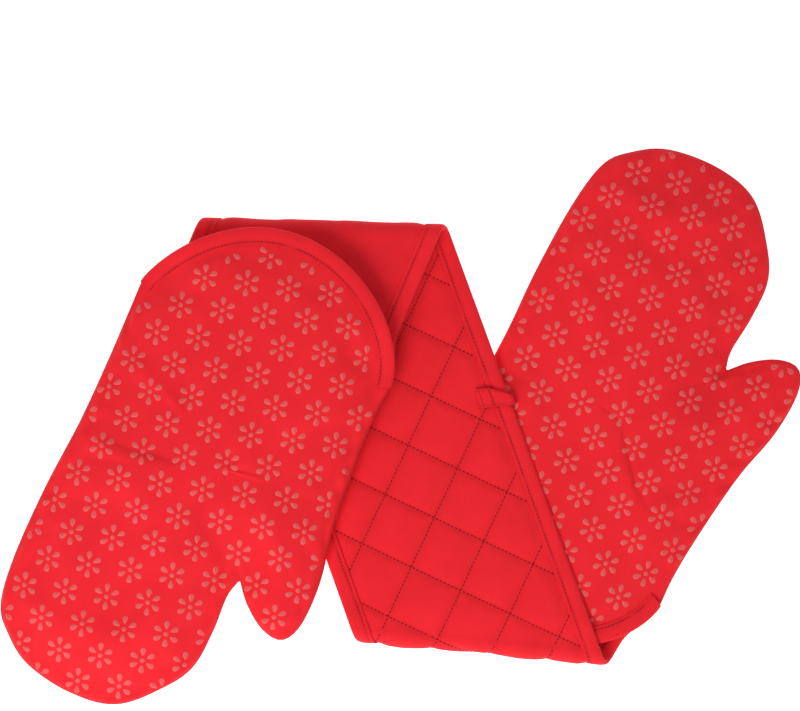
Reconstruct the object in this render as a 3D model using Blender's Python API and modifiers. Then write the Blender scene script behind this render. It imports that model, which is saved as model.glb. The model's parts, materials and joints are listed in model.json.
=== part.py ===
"""Double oven mitt: two thumbed mitts joined by one long quilted strap, folded flat in a Z.

The strap is drawn flat and folded twice.  The lower leg and its mitt lie on the table, the middle
segment lies over them, and the upper leg and its mitt lie on top.  Every panel is a sandwich of an
outer cloth, a wadding and a lining, and its free edges are bound with tape.
Sizes are in millimetres and are turned into metres where a mesh is made.
"""
import math

import bmesh
import bpy
import numpy as np

MM = 0.001
WELD = 0.00002
SLOPE_STEP = 0.5          # half the distance over which a slope is measured
OBJECT_NAME = "double_oven_mitt"
ROWS, RINGS = "SHORT_EDGE", "FIXED"

# Cloth sandwich
SKIN = 0.7                # outer cloth or lining
WADDING = 2.9             # heat-proof filling
CLEARANCE = 0.35          # between pieces that touch
TAPE = 0.8                # binding tape
TAPE_WIDTH = 11.0         # bound width of an edge
TAPER = 5.5               # length over which a panel thins down to its bound edge
SEAM_RADIUS = 5.0         # roundness of a turned side seam
SEAM_GAP = 0.9            # between the two cloths at a side seam, for its stitches

# Strap
STRAP_HALF_WIDTH = 77.0
FOLD_RADIUS = 7.5         # of the middle of the sandwich at a fold
FOLD_END = math.radians(84.0)
STRAP_LENGTH = 321.0      # middle segment between the two hinge lines, along its centre line
STRAP_ANGLE = math.radians(-70.2)
TOP_FOLD_ANGLE = math.radians(-1.6)
BOTTOM_FOLD_ANGLE = math.radians(-5.4)

# Mitts
STRAP_OFFSET = 6.0        # strap centre line from cuff centre, towards the thumb
LEFT_LEG = 85.0           # hinge line to cuff corners, along the strap
RIGHT_LEG = 88.0
CUFF_V = -5.0             # line through the cuff corners
ARCH_HEIGHT = 62.0        # rise of the palm's cuff above that line
ARCH_STEPS = 12
CUFF_TAPE_TRIM = 0.35     # share of the arch's end step by which its tape is shorter
FLARE = 37.0              # length over which the back narrows to the strap
CAVITY = 13.0             # clear height of the hand space
PRESSED_CAVITY = 6.0      # the same where the strap lies on the mitt
CAVITY_RISE = 50.0
HAND_CENTRE = (10.0, -100.0)
FINGERTIP_V = -284.0
HAND_SIDE = [             # from the far cuff corner round the fingers to the thumb crotch
    (-91.0, CUFF_V), (-91.0, -60.0), (-92.5, -110.0), (-97.0, -160.0), (-98.5, -212.0),
    (-94.5, -246.0), (-82.0, -263.0), (-61.0, -277.5), (-26.0, FINGERTIP_V), (6.0, -278.5),
    (31.0, -255.0), (44.0, -234.0), (47.0, -206.0), (46.5, -180.0), (50.4, -166.0),
]
THUMB_SIDE = [            # from the crotch round the thumb to the near cuff corner
    (62.0, -180.0), (78.0, -191.5), (93.0, -193.0), (101.0, -178.0), (101.5, -146.0),
    (95.0, -108.0), (91.6, -60.0), (87.5, CUFF_V),
]

# Rest of the stack
CLIMB = 56.0              # length over which the strap climbs onto the lower mitt
CLIMB_START = -58.0
CLIMB_MARGIN = 1.2        # extra height over the lower mitt's two panels
LOWER_MITT_EDGE = -95.0
LOWER_MITT_RISE = 45.0    # length over which the lower mitt's hand space opens under the strap
FOLD_APPROACH = 22.0      # length over which the middle reaches the height of its fold
LEAN = 165.0              # length over which the upper mitt comes down to its fingertips
PRESS_EDGE = 30.0         # beyond the strap's edge the lower mitt is free again
PRESS_RISE = 50.0
OPEN_LOSS = 1.0           # the lower mitt's hand space is a little lower than the upper one's
MIDDLE_ROWS = 22
MIDDLE_COLUMNS = 8        # between the tapers
LEG_STEPS = (0.0, 0.12, 0.35, 0.57, 0.78, 1.0)
RING_STEPS = (0.3, 0.62, 1.0)

# Hanging loop
LOOP_WIDTH = 13.5
LOOP_PLACE = 5.0          # along the strap's middle segment, from its centre towards the top
LOOP_TAIL = 8.8           # sewn end, inwards of the sewn line
LOOP_SEWN = 10.0          # sewn line, inwards of the strap's edge
LOOP_REACH = 2.0          # free end past the strap's edge
LOOP_DROP = 3.6
LOOP_TAPE = 0.7
LOOP_LIFT = 0.8           # above the strap, clear of the binding under it
LOOP_HINGE_HEIGHT = 22.2  # of the crease where the free end starts, just above the sewn tab
LOOP_SLANT = math.radians(14.0)

PANEL = 2 * SKIN + WADDING + 2 * CLEARANCE
PRESSED = 2 * SKIN + CLEARANCE
BEND_HEIGHT = FOLD_RADIUS + PANEL / 2
UPPER_BASE = 2 * FOLD_RADIUS
BEND_START = math.pi * FOLD_RADIUS / 2      # flat distance from a hinge line back to the bend
EDGE_FLAT = TAPE_WIDTH + 1.5
EDGE_FREE = EDGE_FLAT + TAPER               # from here inwards a panel has its full thickness


def smooth(value):
    """Ease from 0 to 1 while the value goes from 0 to 1."""
    value = np.clip(value, 0.0, 1.0)
    return value * value * (3.0 - 2.0 * value)


def direction(angle):
    """Unit vector at an angle from +X."""
    return np.array([math.cos(angle), math.sin(angle)])


class Plan:
    """A flat frame on the table: u runs towards the thumb edge, v runs along the strap."""

    def __init__(self, origin, u_axis, v_axis):
        self.origin = np.asarray(origin, float)
        self.u_axis = np.asarray(u_axis, float)
        self.v_axis = np.asarray(v_axis, float)

    def world(self, u, v):
        """Place of flat coordinates on the table."""
        u, v = np.broadcast_arrays(np.asarray(u, float), np.asarray(v, float))
        return self.origin + u[..., None] * self.u_axis + v[..., None] * self.v_axis

    def local(self, xy):
        """Flat coordinates of a place on the table."""
        away = np.asarray(xy, float) - self.origin
        return away @ self.u_axis, away @ self.v_axis


class Fold:
    """A hinge line on the plan; inside is the side where the strap lies."""

    def __init__(self, point, angle, inside):
        self.point = np.asarray(point, float)
        self.along = direction(angle)
        self.inward = direction(angle + math.pi / 2 * inside)

    def depth(self, xy):
        """Distance from the hinge line, positive inside."""
        return (np.asarray(xy, float) - self.point) @ self.inward

    def reach(self, plan, u, depth):
        """v at which the line of constant u lies at that depth."""
        start = self.depth(plan.world(u, 0.0))
        return (depth - start) / (plan.v_axis @ self.inward)

    def flip(self, vector):
        """A direction reflected in the hinge line."""
        return vector - 2.0 * (vector @ self.inward) * self.inward

    def hinge_point(self):
        """A point on the hinge's axis, at the height of the middle of the bend."""
        return (*self.point, BEND_HEIGHT)


def layout():
    """The three flat frames and the two folds, centred on the object's bounding box."""
    v_axis = direction(STRAP_ANGLE)
    u_axis = direction(STRAP_ANGLE + math.pi / 2)
    middle_point = np.zeros(2)
    top = Fold(middle_point - v_axis * STRAP_LENGTH / 2, TOP_FOLD_ANGLE, -1)
    bottom = Fold(middle_point + v_axis * STRAP_LENGTH / 2, BOTTOM_FOLD_ANGLE, 1)

    def mitt_plan(fold, leg, along):
        """The strap's frame moved to a cuff and reflected in its hinge line."""
        origin = fold.point + fold.flip(along * leg - u_axis * STRAP_OFFSET)
        return Plan(origin, fold.flip(u_axis), fold.flip(-along))

    left = mitt_plan(top, LEFT_LEG, -v_axis)
    right = mitt_plan(bottom, RIGHT_LEG, v_axis)
    outline = np.array(HAND_SIDE + THUMB_SIDE)
    corners = np.concatenate([
        left.world(outline[:, 0], outline[:, 1]), right.world(outline[:, 0], outline[:, 1]),
    ])
    shift = (corners.min(axis=0) + corners.max(axis=0)) / 2
    for piece in (left, right):
        piece.origin = piece.origin - shift
    for fold in (top, bottom):
        fold.point = fold.point - shift
    return Plan(middle_point - shift, u_axis, v_axis), left, right, top, bottom


MIDDLE, LEFT, RIGHT, TOP, BOTTOM = layout()


def side_distance(plan, xy):
    """Distance from each point to the mitt's turned side seam."""
    outline = np.array(HAND_SIDE + THUMB_SIDE)
    seam = plan.world(outline[:, 0], outline[:, 1])
    start, run = seam[:-1], np.diff(seam, axis=0)
    away = np.asarray(xy, float)[..., None, :] - start
    along = np.clip((away * run).sum(-1) / (run * run).sum(-1), 0.0, 1.0)
    return np.linalg.norm(away - along[..., None] * run, axis=-1).min(axis=-1)


def middle_base(xy):
    """Height of the underside of the middle segment."""
    over = RIGHT.local(xy)[0] - LOWER_MITT_EDGE
    first = PANEL * 2 + CLEARANCE + CLIMB_MARGIN
    climb = first * smooth((over - CLIMB_START) / CLIMB)
    climb = climb + PRESSED_CAVITY * smooth(over / LOWER_MITT_RISE)
    near = smooth((BOTTOM.depth(xy) - BEND_START) / FOLD_APPROACH)
    return UPPER_BASE + (climb - UPPER_BASE) * near


def left_base(xy):
    """Height of the underside of the upper mitt, which leans on its fingertips."""
    return UPPER_BASE * np.clip((LEFT.local(xy)[1] - FINGERTIP_V) / LEAN, 0.0, 1.0)


def right_base(xy):
    """The lower mitt lies flat."""
    return np.zeros(np.shape(xy)[:-1])


def left_cavity(xy):
    """The hand space of the upper mitt, closing at its side seam."""
    return CAVITY * smooth(side_distance(LEFT, xy) / CAVITY_RISE)


def right_cavity(xy):
    """The hand space of the lower mitt, pressed flat under the strap."""
    free = smooth((MIDDLE.local(xy)[0] - STRAP_HALF_WIDTH - PRESS_EDGE) / PRESS_RISE)
    height = PRESSED_CAVITY + (CAVITY - OPEN_LOSS - PRESSED_CAVITY) * free
    return height * smooth(side_distance(RIGHT, xy) / CAVITY_RISE)


def stand_on(base, xy, height):
    """Points at a height in a panel whose underside follows base, measured square to its slope."""
    east, north = np.array([SLOPE_STEP, 0.0]), np.array([0.0, SLOPE_STEP])
    slope_x = (base(xy + east) - base(xy - east)) / (2 * SLOPE_STEP)
    slope_y = (base(xy + north) - base(xy - north)) / (2 * SLOPE_STEP)
    normal = np.stack([-slope_x, -slope_y, np.ones_like(slope_x)], axis=-1)
    normal /= np.linalg.norm(normal, axis=-1)[..., None]
    middle = np.concatenate([xy, base(xy)[..., None] + PANEL / 2], axis=-1)
    return middle + normal * (np.asarray(height) - PANEL / 2)[..., None]


def on_strap(plan, fold, upper, u, v, height, base):
    """Place points of a strap piece, bent round a fold where they pass its bend line."""
    flat = plan.world(u, v)
    depth = fold.depth(flat)
    turn = np.clip((BEND_START - depth) / FOLD_RADIUS, 0.0, FOLD_END)
    away = height - PANEL / 2 if upper else PANEL / 2 - height
    radius = FOLD_RADIUS + away
    bent_depth = BEND_START - radius * np.sin(turn)
    shift = np.where(turn > 0.0, bent_depth - depth, 0.0)
    xy = flat + shift[..., None] * fold.inward
    side = 1.0 if upper else -1.0
    bent_z = BEND_HEIGHT + side * radius * np.cos(turn)
    bent = np.concatenate([xy, bent_z[..., None]], axis=-1)
    return np.where((turn > 0.0)[..., None], bent, stand_on(base, flat, height))


def make_material(name, colour, roughness):
    """A plain cloth finish."""
    material = bpy.data.materials.new(name)
    material.use_nodes = True
    shader = material.node_tree.nodes["Principled BSDF"]
    shader.inputs["Base Color"].default_value = (*colour, 1.0)
    shader.inputs["Roughness"].default_value = roughness
    shader.inputs["Metallic"].default_value = 0.0
    return material


def add_cloth(name, grids, thickness, finish, parent):
    """One sheet made of grid primitives welded together, given its thickness by Solidify.
    The parent is the empty of its body, which stands on the body's hinge axis.

    The quads of a strap's rows are split along their short diagonal and those of a hand's rings all
    one way round, so that the layers of a panel are split alike and stay parallel.
    """
    bm = bmesh.new()
    for split, points in grids:
        rows, columns = points.shape[:2]
        made = bmesh.ops.create_grid(bm, x_segments=columns - 1, y_segments=rows - 1, size=1.0)
        for vertex, place in zip(made["verts"], points.reshape(-1, 3)):
            vertex.co = place * MM
        faces = list({face for vertex in made["verts"] for face in vertex.link_faces})
        faces.sort(key=lambda face: face.index)
        bmesh.ops.triangulate(bm, faces=faces, quad_method=split)
    bmesh.ops.remove_doubles(bm, verts=bm.verts, dist=WELD)
    loose = [edge for edge in bm.edges if not edge.link_faces]
    bmesh.ops.delete(bm, geom=loose, context="EDGES")
    bmesh.ops.recalc_face_normals(bm, faces=bm.faces)
    bmesh.ops.translate(bm, verts=bm.verts, vec=-parent.location)
    mesh = bpy.data.meshes.new(name)
    bm.to_mesh(mesh)
    bm.free()
    cloth = bpy.data.objects.new(name, mesh)
    cloth.parent = parent
    bpy.data.collections[OBJECT_NAME].objects.link(cloth)
    mesh.materials.append(finish)
    solidify = cloth.modifiers.new("thickness", "SOLIDIFY")
    solidify.thickness = thickness * MM
    solidify.offset = 0.0
    solidify.use_even_offset = not name.endswith(("wadding", "lining"))
    return cloth


def add_body(name, point):
    """The empty of a body, at a point of its hinge axis."""
    body = bpy.data.objects.new(name, None)
    body.location = [value * MM for value in point]
    bpy.data.collections[OBJECT_NAME].objects.link(body)
    return body


def inward_normals(outline):
    """Inward unit normal at each corner of a closed outline, whichever way it runs."""
    run = np.roll(outline, -1, axis=0) - outline
    run /= np.linalg.norm(run, axis=1)[:, None]
    mean = run + np.roll(run, 1, axis=0)
    mean /= np.linalg.norm(mean, axis=1)[:, None]
    normal = np.stack([-mean[:, 1], mean[:, 0]], axis=1)
    ahead = np.roll(outline, -1, axis=0)
    area = np.sum(outline[:, 0] * ahead[:, 1] - outline[:, 1] * ahead[:, 0])
    return normal if area > 0.0 else -normal


def strap_columns(left_edge, right_edge, inner, layer):
    """Positions across the strap: the bound edges, the taper, and even steps between."""
    edge = np.array([0.0, EDGE_FLAT, layer.edge])
    left = left_edge[..., None] + edge
    right = right_edge[..., None] - edge[::-1]
    steps = np.linspace(0.0, 1.0, inner + 1)[1:-1]
    between = left[..., -1:] + (right[..., :1] - left[..., -1:]) * steps
    return np.concatenate([left, between, right], axis=-1)


def column_heights(count, free, bound):
    """Heights across a strap: pressed in both bindings and free between them."""
    heights = np.full(count, free)
    heights[[0, 1, -2, -1]] = bound
    return heights


class Layer:
    """One cloth of a panel: its middle height in the panel, free and at a bound edge."""

    def __init__(self, name, thickness, depth, bound_depth, edge):
        self.name = name
        self.thickness = thickness
        self.depth = depth
        self.bound_depth = bound_depth
        self.edge = edge

    def heights(self, outer_side_up):
        """Free and bound height of the layer's middle in a panel, from its underside."""
        if outer_side_up:
            return PANEL - self.depth, PANEL - self.bound_depth
        return self.depth, self.bound_depth


LAYERS = (
    Layer("shell", SKIN, SKIN / 2, (PANEL - PRESSED + SKIN) / 2, EDGE_FREE),
    Layer("wadding", WADDING, PANEL / 2, PANEL / 2, EDGE_FREE + 5 * CLEARANCE),
    Layer("lining", SKIN, PANEL - SKIN / 2, (PANEL + PRESSED - SKIN) / 2, EDGE_FREE),
)


def bend_rows():
    """Depths behind the hinge line of the rows round a half bend, from flat to its end."""
    turns = np.linspace(0.0, FOLD_END, 4)[1:]
    return BEND_START - FOLD_RADIUS * turns


def leg_edges(v):
    """Far and thumb-side edges of a mitt's back along its leg, flaring out to the cuff."""
    ease = smooth((v - CUFF_V) / FLARE)
    far = HAND_SIDE[0][0] + (STRAP_OFFSET - STRAP_HALF_WIDTH - HAND_SIDE[0][0]) * ease
    near = THUMB_SIDE[-1][0] + (STRAP_OFFSET + STRAP_HALF_WIDTH - THUMB_SIDE[-1][0]) * ease
    return far, near


def leg_grid(plan, fold, steps, place_across):
    """Flat u, v of a leg's rows; place_across gives u from the two edges."""
    across = place_across(*leg_edges(np.array(CUFF_V + FLARE)))
    bend_v = fold.reach(plan, across, BEND_START)
    rows_u, rows_v = [], []
    for step in steps:
        v = CUFF_V + step * (bend_v - CUFF_V)
        far, near = leg_edges(v)
        u = np.array([place_across(far[k], near[k])[k] for k in range(len(across))])
        rows_u.append(u)
        rows_v.append(v)
    for depth in bend_rows():
        rows_u.append(across)
        rows_v.append(fold.reach(plan, across, depth))
    return np.array(rows_u), np.array(rows_v)


class Mitt:
    """One mitt with its leg of the strap and its half of the fold."""

    inner_columns = 4

    def __init__(self, side, plan, fold, upper, base, cavity):
        self.body = add_body(f"{side}_mitt", fold.hinge_point())
        self.side = side
        self.plan = plan
        self.fold = fold
        self.upper = upper
        self.base = base
        self.cavity = cavity

    def place(self, uv, height, palm):
        """World points of flat panel points at a height in the back or palm panel."""
        def underside(xy):
            """Height of the panel's underside."""
            if palm:
                return self.base(xy) + PANEL + CLEARANCE + self.cavity(xy)
            return self.base(xy)

        return stand_on(underside, self.plan.world(uv[..., 0], uv[..., 1]), height)

    def rings(self, outline, turned, layer, palm, bound_edge=None):
        """Polar grid of a panel, from its outline to the middle of the hand.

        bound_edge changes the outer three rings where the back goes on into its leg.
        """
        normals = inward_normals(outline)
        free, bound = layer.heights(palm)
        radius = SEAM_RADIUS - SKIN / 2
        seam = SEAM_GAP / 2
        rim = [radius * math.cos(math.asin(seam / radius)), radius * math.cos(math.pi / 4)]
        insets = np.zeros((3, len(outline)))
        heights = np.full((3, len(outline)), free)
        rim_height = [PANEL - SEAM_RADIUS + seam - CLEARANCE / 2,
                      PANEL - SEAM_RADIUS + radius * math.sin(math.pi / 4) - CLEARANCE / 2]
        for k in range(2):
            insets[k] = np.where(turned, SEAM_RADIUS - rim[k], (0.0, EDGE_FLAT)[k])
            lift = rim_height[k] if palm else PANEL - rim_height[k]
            heights[k] = np.where(turned, lift, bound)
        insets[2] = np.where(turned, SEAM_RADIUS, layer.edge)
        if layer.name != "shell":
            insets[:2, turned] = SEAM_RADIUS
            heights[:2, turned] = free
        if layer.name == "wadding":
            insets[:2] = insets[2]
            heights[:2] = free
        edge = outline + insets[..., None] * normals
        corner = len(HAND_SIDE) + len(THUMB_SIDE) - 1
        for index, inwards in ((0, 1.0), (corner, -1.0)):
            aside = insets[:, 1] * inwards
            if layer.name == "lining":
                aside = SEAM_RADIUS * np.array([0.5, 0.75, 1.0]) * inwards
            elif layer.name == "wadding":
                aside = np.full(3, SEAM_RADIUS) * inwards
            edge[:, index] = outline[index] + np.stack([aside, -insets[:, index]], axis=1)
        if bound_edge:
            edge, heights = bound_edge(edge, heights)
        centre = np.array(HAND_CENTRE)
        inner = [edge[2] + (centre - edge[2]) * step for step in RING_STEPS]
        uv = np.concatenate([edge, inner])
        heights = np.concatenate([heights, np.full((len(RING_STEPS), len(outline)), free)])
        uv = np.concatenate([uv, uv[:, :1]], axis=1)
        heights = np.concatenate([heights, heights[:, :1]], axis=1)
        return self.place(uv, heights, palm)

    def side_outline(self):
        """The turned side seam, from the far cuff corner round to the near one."""
        return np.array(HAND_SIDE + THUMB_SIDE)

    def turned_flags(self, extra):
        """Which corners of an outline are on the turned seam; the extra ones are on the cuff."""
        turned = np.ones(len(HAND_SIDE) + len(THUMB_SIDE) + extra, bool)
        turned[0] = False
        turned[len(HAND_SIDE) + len(THUMB_SIDE) - 1:] = False
        return turned

    def arch(self):
        """Cuff edge of the palm from the thumb-side corner to the far corner."""
        turn = np.linspace(0.0, math.pi, ARCH_STEPS + 1)
        far, near = HAND_SIDE[0][0], THUMB_SIDE[-1][0]
        u = (far + near) / 2 + (near - far) / 2 * np.cos(turn)
        v = CUFF_V + ARCH_HEIGHT * np.sin(turn) ** 1.5
        return np.stack([u, v], axis=1)

    def palm_outline(self):
        """The side seam closed by the cuff's arch."""
        return np.concatenate([self.side_outline(), self.arch()[1:-1]])

    def build_palm(self, finishes):
        """The three cloths of the palm and the binding of its cuff."""
        outline = self.palm_outline()
        turned = self.turned_flags(ARCH_STEPS - 1)
        for layer in LAYERS:
            grid = self.rings(outline, turned, layer, True)
            name = f"{self.side}_palm_{layer.name}"
            add_cloth(name, [(RINGS, grid)], layer.thickness, finishes[layer.name], self.body)
        normals = inward_normals(outline)
        start = len(HAND_SIDE) + len(THUMB_SIDE) - 1
        order = list(range(start, len(outline))) + [0]
        edge, normal = outline[order], normals[order]
        for end, beside in ((0, 1), (-1, -2)):
            edge[end] += (edge[beside] - edge[end]) * CUFF_TAPE_TRIM
            normal[end] = normal[beside]
        self.add_tape(f"{self.side}_cuff_binding", edge, normal, finishes["tape"])

    def add_tape(self, name, edge, normal, finish):
        """Tape folded over the palm's cuff edge."""
        profile = tape_profile()
        uv = edge[:, None, :] + profile[None, :, :1] * normal[:, None, :]
        height = np.broadcast_to(profile[:, 1], uv.shape[:2])
        add_cloth(name, [(RINGS, self.place(uv, height, True))], TAPE, finish, self.body)

    def build_back(self, finishes):
        """The three cloths of the back with its leg, and the leg's two bindings."""
        for layer in LAYERS:
            self.add_back_layer(layer, finishes[layer.name])
        for edge_name, far_side in (("far", True), ("thumb", False)):
            self.add_leg_tape(edge_name, far_side, finishes["tape"])

    def add_back_layer(self, layer, finish):
        """One cloth of the back: the hand in rings, the leg and the half bend in rows."""
        far, near = HAND_SIDE[0][0], THUMB_SIDE[-1][0]
        chord = strap_columns(np.array(far), np.array(near), self.inner_columns, layer)[::-1]
        middle = np.stack([chord[1:-1], np.full(len(chord) - 2, CUFF_V)], axis=1)
        outline = np.concatenate([self.side_outline(), middle])
        turned = self.turned_flags(len(middle))
        corner = len(HAND_SIDE) + len(THUMB_SIDE) - 1
        inside = np.arange(corner + 1, len(outline))
        free, bound = layer.heights(False)
        row_heights = column_heights(len(chord), free, bound)

        def join_leg(edge, heights):
            """Chord points stay on the chord, so that the leg's first row meets them."""
            edge[0, inside] = outline[inside]
            heights[0, inside] = row_heights[1:-1]
            step = np.array([0.0, -1.0])
            for ring, inset in ((1, EDGE_FLAT), (2, layer.edge)):
                edge[ring, inside] = outline[inside] + inset * step
                heights[ring, inside] = free
                for index, inwards in ((0, 1.0), (corner, -1.0)):
                    aside = np.array([inwards * SEAM_RADIUS * ring / 2, 0.0])
                    edge[ring, index] = outline[index] + inset * step + aside
                    heights[ring, index] = free
            if layer.name == "wadding":
                heights[:] = free
                edge[1, inside] = edge[0, inside]
                for index, first, second in ((0, -1, -2), (corner, corner + 1, corner + 2)):
                    edge[:2, index] = edge[2, index]
                    edge[:, first] = edge[2, second]
            return edge, heights

        def across(far_edge, near_edge):
            """Positions of the columns between the leg's two edges."""
            edges = np.asarray(far_edge), np.asarray(near_edge)
            return strap_columns(*edges, self.inner_columns, layer)

        u, v = leg_grid(self.plan, self.fold, LEG_STEPS, across)
        hand = self.rings(outline, turned, layer, False, join_leg)
        height = np.broadcast_to(row_heights, u.shape)
        leg = on_strap(self.plan, self.fold, self.upper, u, v, height, self.base)
        if layer.name == "wadding":
            leg = leg[:, 2:-2]
        grids = [(RINGS, hand), (ROWS, leg)]
        add_cloth(f"{self.side}_back_{layer.name}", grids, layer.thickness, finish, self.body)

    def add_leg_tape(self, edge_name, far_side, finish):
        """Tape folded over one edge of the leg, from the flare to the fold."""
        profile = tape_profile()
        if not far_side:
            profile = profile[::-1]

        def across(far_edge, near_edge):
            """Positions of the tape's middle line from its edge of the leg."""
            if far_side:
                return far_edge + profile[:, 0]
            return near_edge - profile[:, 0]

        u, v = leg_grid(self.plan, self.fold, LEG_STEPS[1:], across)
        height = np.broadcast_to(profile[:, 1], u.shape)
        grid = on_strap(self.plan, self.fold, self.upper, u, v, height, self.base)
        name = f"{self.side}_leg_binding_{edge_name}_side"
        add_cloth(name, [(ROWS, grid)], TAPE, finish, self.body)


def tape_profile():
    """Inset and height of a folded tape's middle line, from its top lip round to its lower lip."""
    outside = -(CLEARANCE + TAPE / 2)
    half = PRESSED / 2 + CLEARANCE + TAPE / 2
    top, low = PANEL / 2 + half, PANEL / 2 - half
    return np.array([(TAPE_WIDTH, top), (outside, top), (outside, low), (TAPE_WIDTH, low)])


def middle_grid(across):
    """Flat u, v of the middle segment with its two half bends."""
    top_v = [TOP.reach(MIDDLE, across, depth) for depth in bend_rows()[::-1]]
    start = TOP.reach(MIDDLE, across, BEND_START)
    end = BOTTOM.reach(MIDDLE, across, BEND_START)
    flat_v = [start + (end - start) * step for step in np.linspace(0.0, 1.0, MIDDLE_ROWS + 1)]
    bottom_v = [BOTTOM.reach(MIDDLE, across, depth) for depth in bend_rows()]
    v = np.array(top_v + flat_v + bottom_v)
    return np.broadcast_to(across, v.shape), v


def place_middle(u, v, height):
    """Bend the upper rows round the top fold and the lower rows round the bottom fold."""
    height = np.broadcast_to(height, u.shape)
    at_top = on_strap(MIDDLE, TOP, False, u, v, height, middle_base)
    at_bottom = on_strap(MIDDLE, BOTTOM, True, u, v, height, middle_base)
    return np.where((v < 0.0)[..., None], at_top, at_bottom)


def build_middle(finishes):
    """The three cloths of the strap's middle and its two bindings."""
    body = add_body("strap", (0.0, 0.0, 0.0))
    for layer in LAYERS:
        edges = np.array(-STRAP_HALF_WIDTH), np.array(STRAP_HALF_WIDTH)
        across = strap_columns(*edges, MIDDLE_COLUMNS, layer)
        u, v = middle_grid(across)
        free, bound = layer.heights(True)
        grid = place_middle(u, v, column_heights(len(across), free, bound))
        if layer.name == "wadding":
            grid = grid[:, 2:-2]
        add_cloth(f"strap_{layer.name}", [(ROWS, grid)], layer.thickness, finishes[layer.name], body)
    profile = tape_profile()
    for edge_name, side in (("far", -1.0), ("thumb", 1.0)):
        across = side * (STRAP_HALF_WIDTH - profile[:, 0])
        u, v = middle_grid(across)
        grid = place_middle(u, v, profile[:, 1])
        add_cloth(f"strap_binding_{edge_name}_side", [(ROWS, grid)], TAPE, finishes["tape"], body)
    return body


def hairpin(path, gap):
    """Middle line of a doubled tape: out along the path and back above it."""
    path = np.array(path, float)
    run = np.gradient(path, axis=0)
    run /= np.linalg.norm(run, axis=1)[:, None]
    up = np.stack([run[:, 1], -run[:, 0]], axis=1)
    end = path[-1] + run[-1] * abs(gap) / 2 + up[-1] * gap / 2
    return np.concatenate([path, [end], (path + up * gap)[::-1]])


def build_loop(finishes, strap):
    """Doubled tape sewn across the thumb-side binding; its free end hangs over the edge."""
    hinge = MIDDLE.world(STRAP_HALF_WIDTH - LOOP_SEWN, -LOOP_PLACE)
    loop = add_body("loop", (*hinge, LOOP_HINGE_HEIGHT))
    gap = LOOP_TAPE + CLEARANCE
    low = PANEL + LOOP_LIFT + LOOP_TAPE / 2
    tail = [(LOOP_SEWN + CLEARANCE, low), (LOOP_SEWN + LOOP_TAIL / 2, low), (LOOP_SEWN + LOOP_TAIL, low)]
    free = [(LOOP_SEWN, low), (LOOP_SEWN / 2, low), (-LOOP_REACH / 2, low),
            (-LOOP_REACH, low - LOOP_REACH / 2), (-LOOP_REACH, low - LOOP_DROP)]
    half = LOOP_WIDTH / 2
    for name, line, body in (
        ("hanging_loop_tab", hairpin(tail, -gap), strap),
        ("hanging_loop", hairpin(free, gap), loop),
    ):
        rows = []
        for side in (-half, half):
            u = STRAP_HALF_WIDTH - line[:, 0]
            v = -LOOP_PLACE + side + (LOOP_SEWN - line[:, 0]) * math.tan(LOOP_SLANT)
            xy = MIDDLE.world(u, v)
            rows.append(np.concatenate([xy, (middle_base(xy) + line[:, 1])[:, None]], axis=1))
        add_cloth(name, [(ROWS, np.array(rows))], LOOP_TAPE, finishes["tape"], body)


def main():
    """Clear the scene and build the strap, the loop and both mitts."""
    for item in list(bpy.data.objects):
        bpy.data.objects.remove(item, do_unlink=True)
    collection = bpy.data.collections.new(OBJECT_NAME)
    bpy.context.scene.collection.children.link(collection)
    finishes = {
        "shell": make_material("red_cotton", (0.78, 0.012, 0.022), 0.85),
        "wadding": make_material("white_wadding", (0.8, 0.78, 0.74), 0.95),
        "lining": make_material("red_lining", (0.7, 0.012, 0.02), 0.88),
        "tape": make_material("red_tape", (0.74, 0.012, 0.022), 0.8),
    }
    build_loop(finishes, build_middle(finishes))
    for mitt in (
        Mitt("left", LEFT, TOP, True, left_base, left_cavity),
        Mitt("right", RIGHT, BOTTOM, False, right_base, right_cavity),
    ):
        mitt.build_palm(finishes)
        mitt.build_back(finishes)


main()
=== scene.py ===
"""A double oven mitt: two thumbed mitts joined by one long quilted strap, folded flat in a Z.

The strap and the backs of both mitts are one flat pattern, which is folded twice.  Every piece is a
surface over that pattern, or over the palm of a mitt, and gets its thickness from Solidify.
Sizes are in millimetres until a mesh is made.
"""
import json
import logging
import math
from dataclasses import dataclass
from enum import Enum
from typing import Callable, Sequence

import bpy
import numpy as np
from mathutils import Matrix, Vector


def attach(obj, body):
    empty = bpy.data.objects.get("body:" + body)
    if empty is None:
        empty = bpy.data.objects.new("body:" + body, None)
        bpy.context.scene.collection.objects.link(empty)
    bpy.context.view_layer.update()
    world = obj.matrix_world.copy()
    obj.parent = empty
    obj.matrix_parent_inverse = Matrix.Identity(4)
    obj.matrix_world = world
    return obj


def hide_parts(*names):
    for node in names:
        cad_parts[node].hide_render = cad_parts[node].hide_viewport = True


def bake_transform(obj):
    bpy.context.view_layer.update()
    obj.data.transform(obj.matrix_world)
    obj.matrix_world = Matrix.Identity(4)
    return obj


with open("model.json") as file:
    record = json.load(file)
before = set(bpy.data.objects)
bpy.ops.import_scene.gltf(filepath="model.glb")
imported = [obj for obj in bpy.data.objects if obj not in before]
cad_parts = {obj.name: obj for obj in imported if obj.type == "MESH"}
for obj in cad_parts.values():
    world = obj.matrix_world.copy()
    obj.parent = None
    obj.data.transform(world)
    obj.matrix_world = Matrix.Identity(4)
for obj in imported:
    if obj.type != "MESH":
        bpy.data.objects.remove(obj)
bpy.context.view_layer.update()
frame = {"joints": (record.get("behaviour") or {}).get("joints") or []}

MM = 0.001
FLAT_UV = "flat_pattern"
# point attribute: on cloth the amount of painted shade, on the print the place on its colour ramp
SHADE_AND_PRINT_RAMP = "relief"
CUT_EDGE = math.radians(50.0)
Array = np.ndarray
Height = Callable[[Array, Array], Array]
LOG = logging.getLogger("double_oven_mitt")


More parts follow.
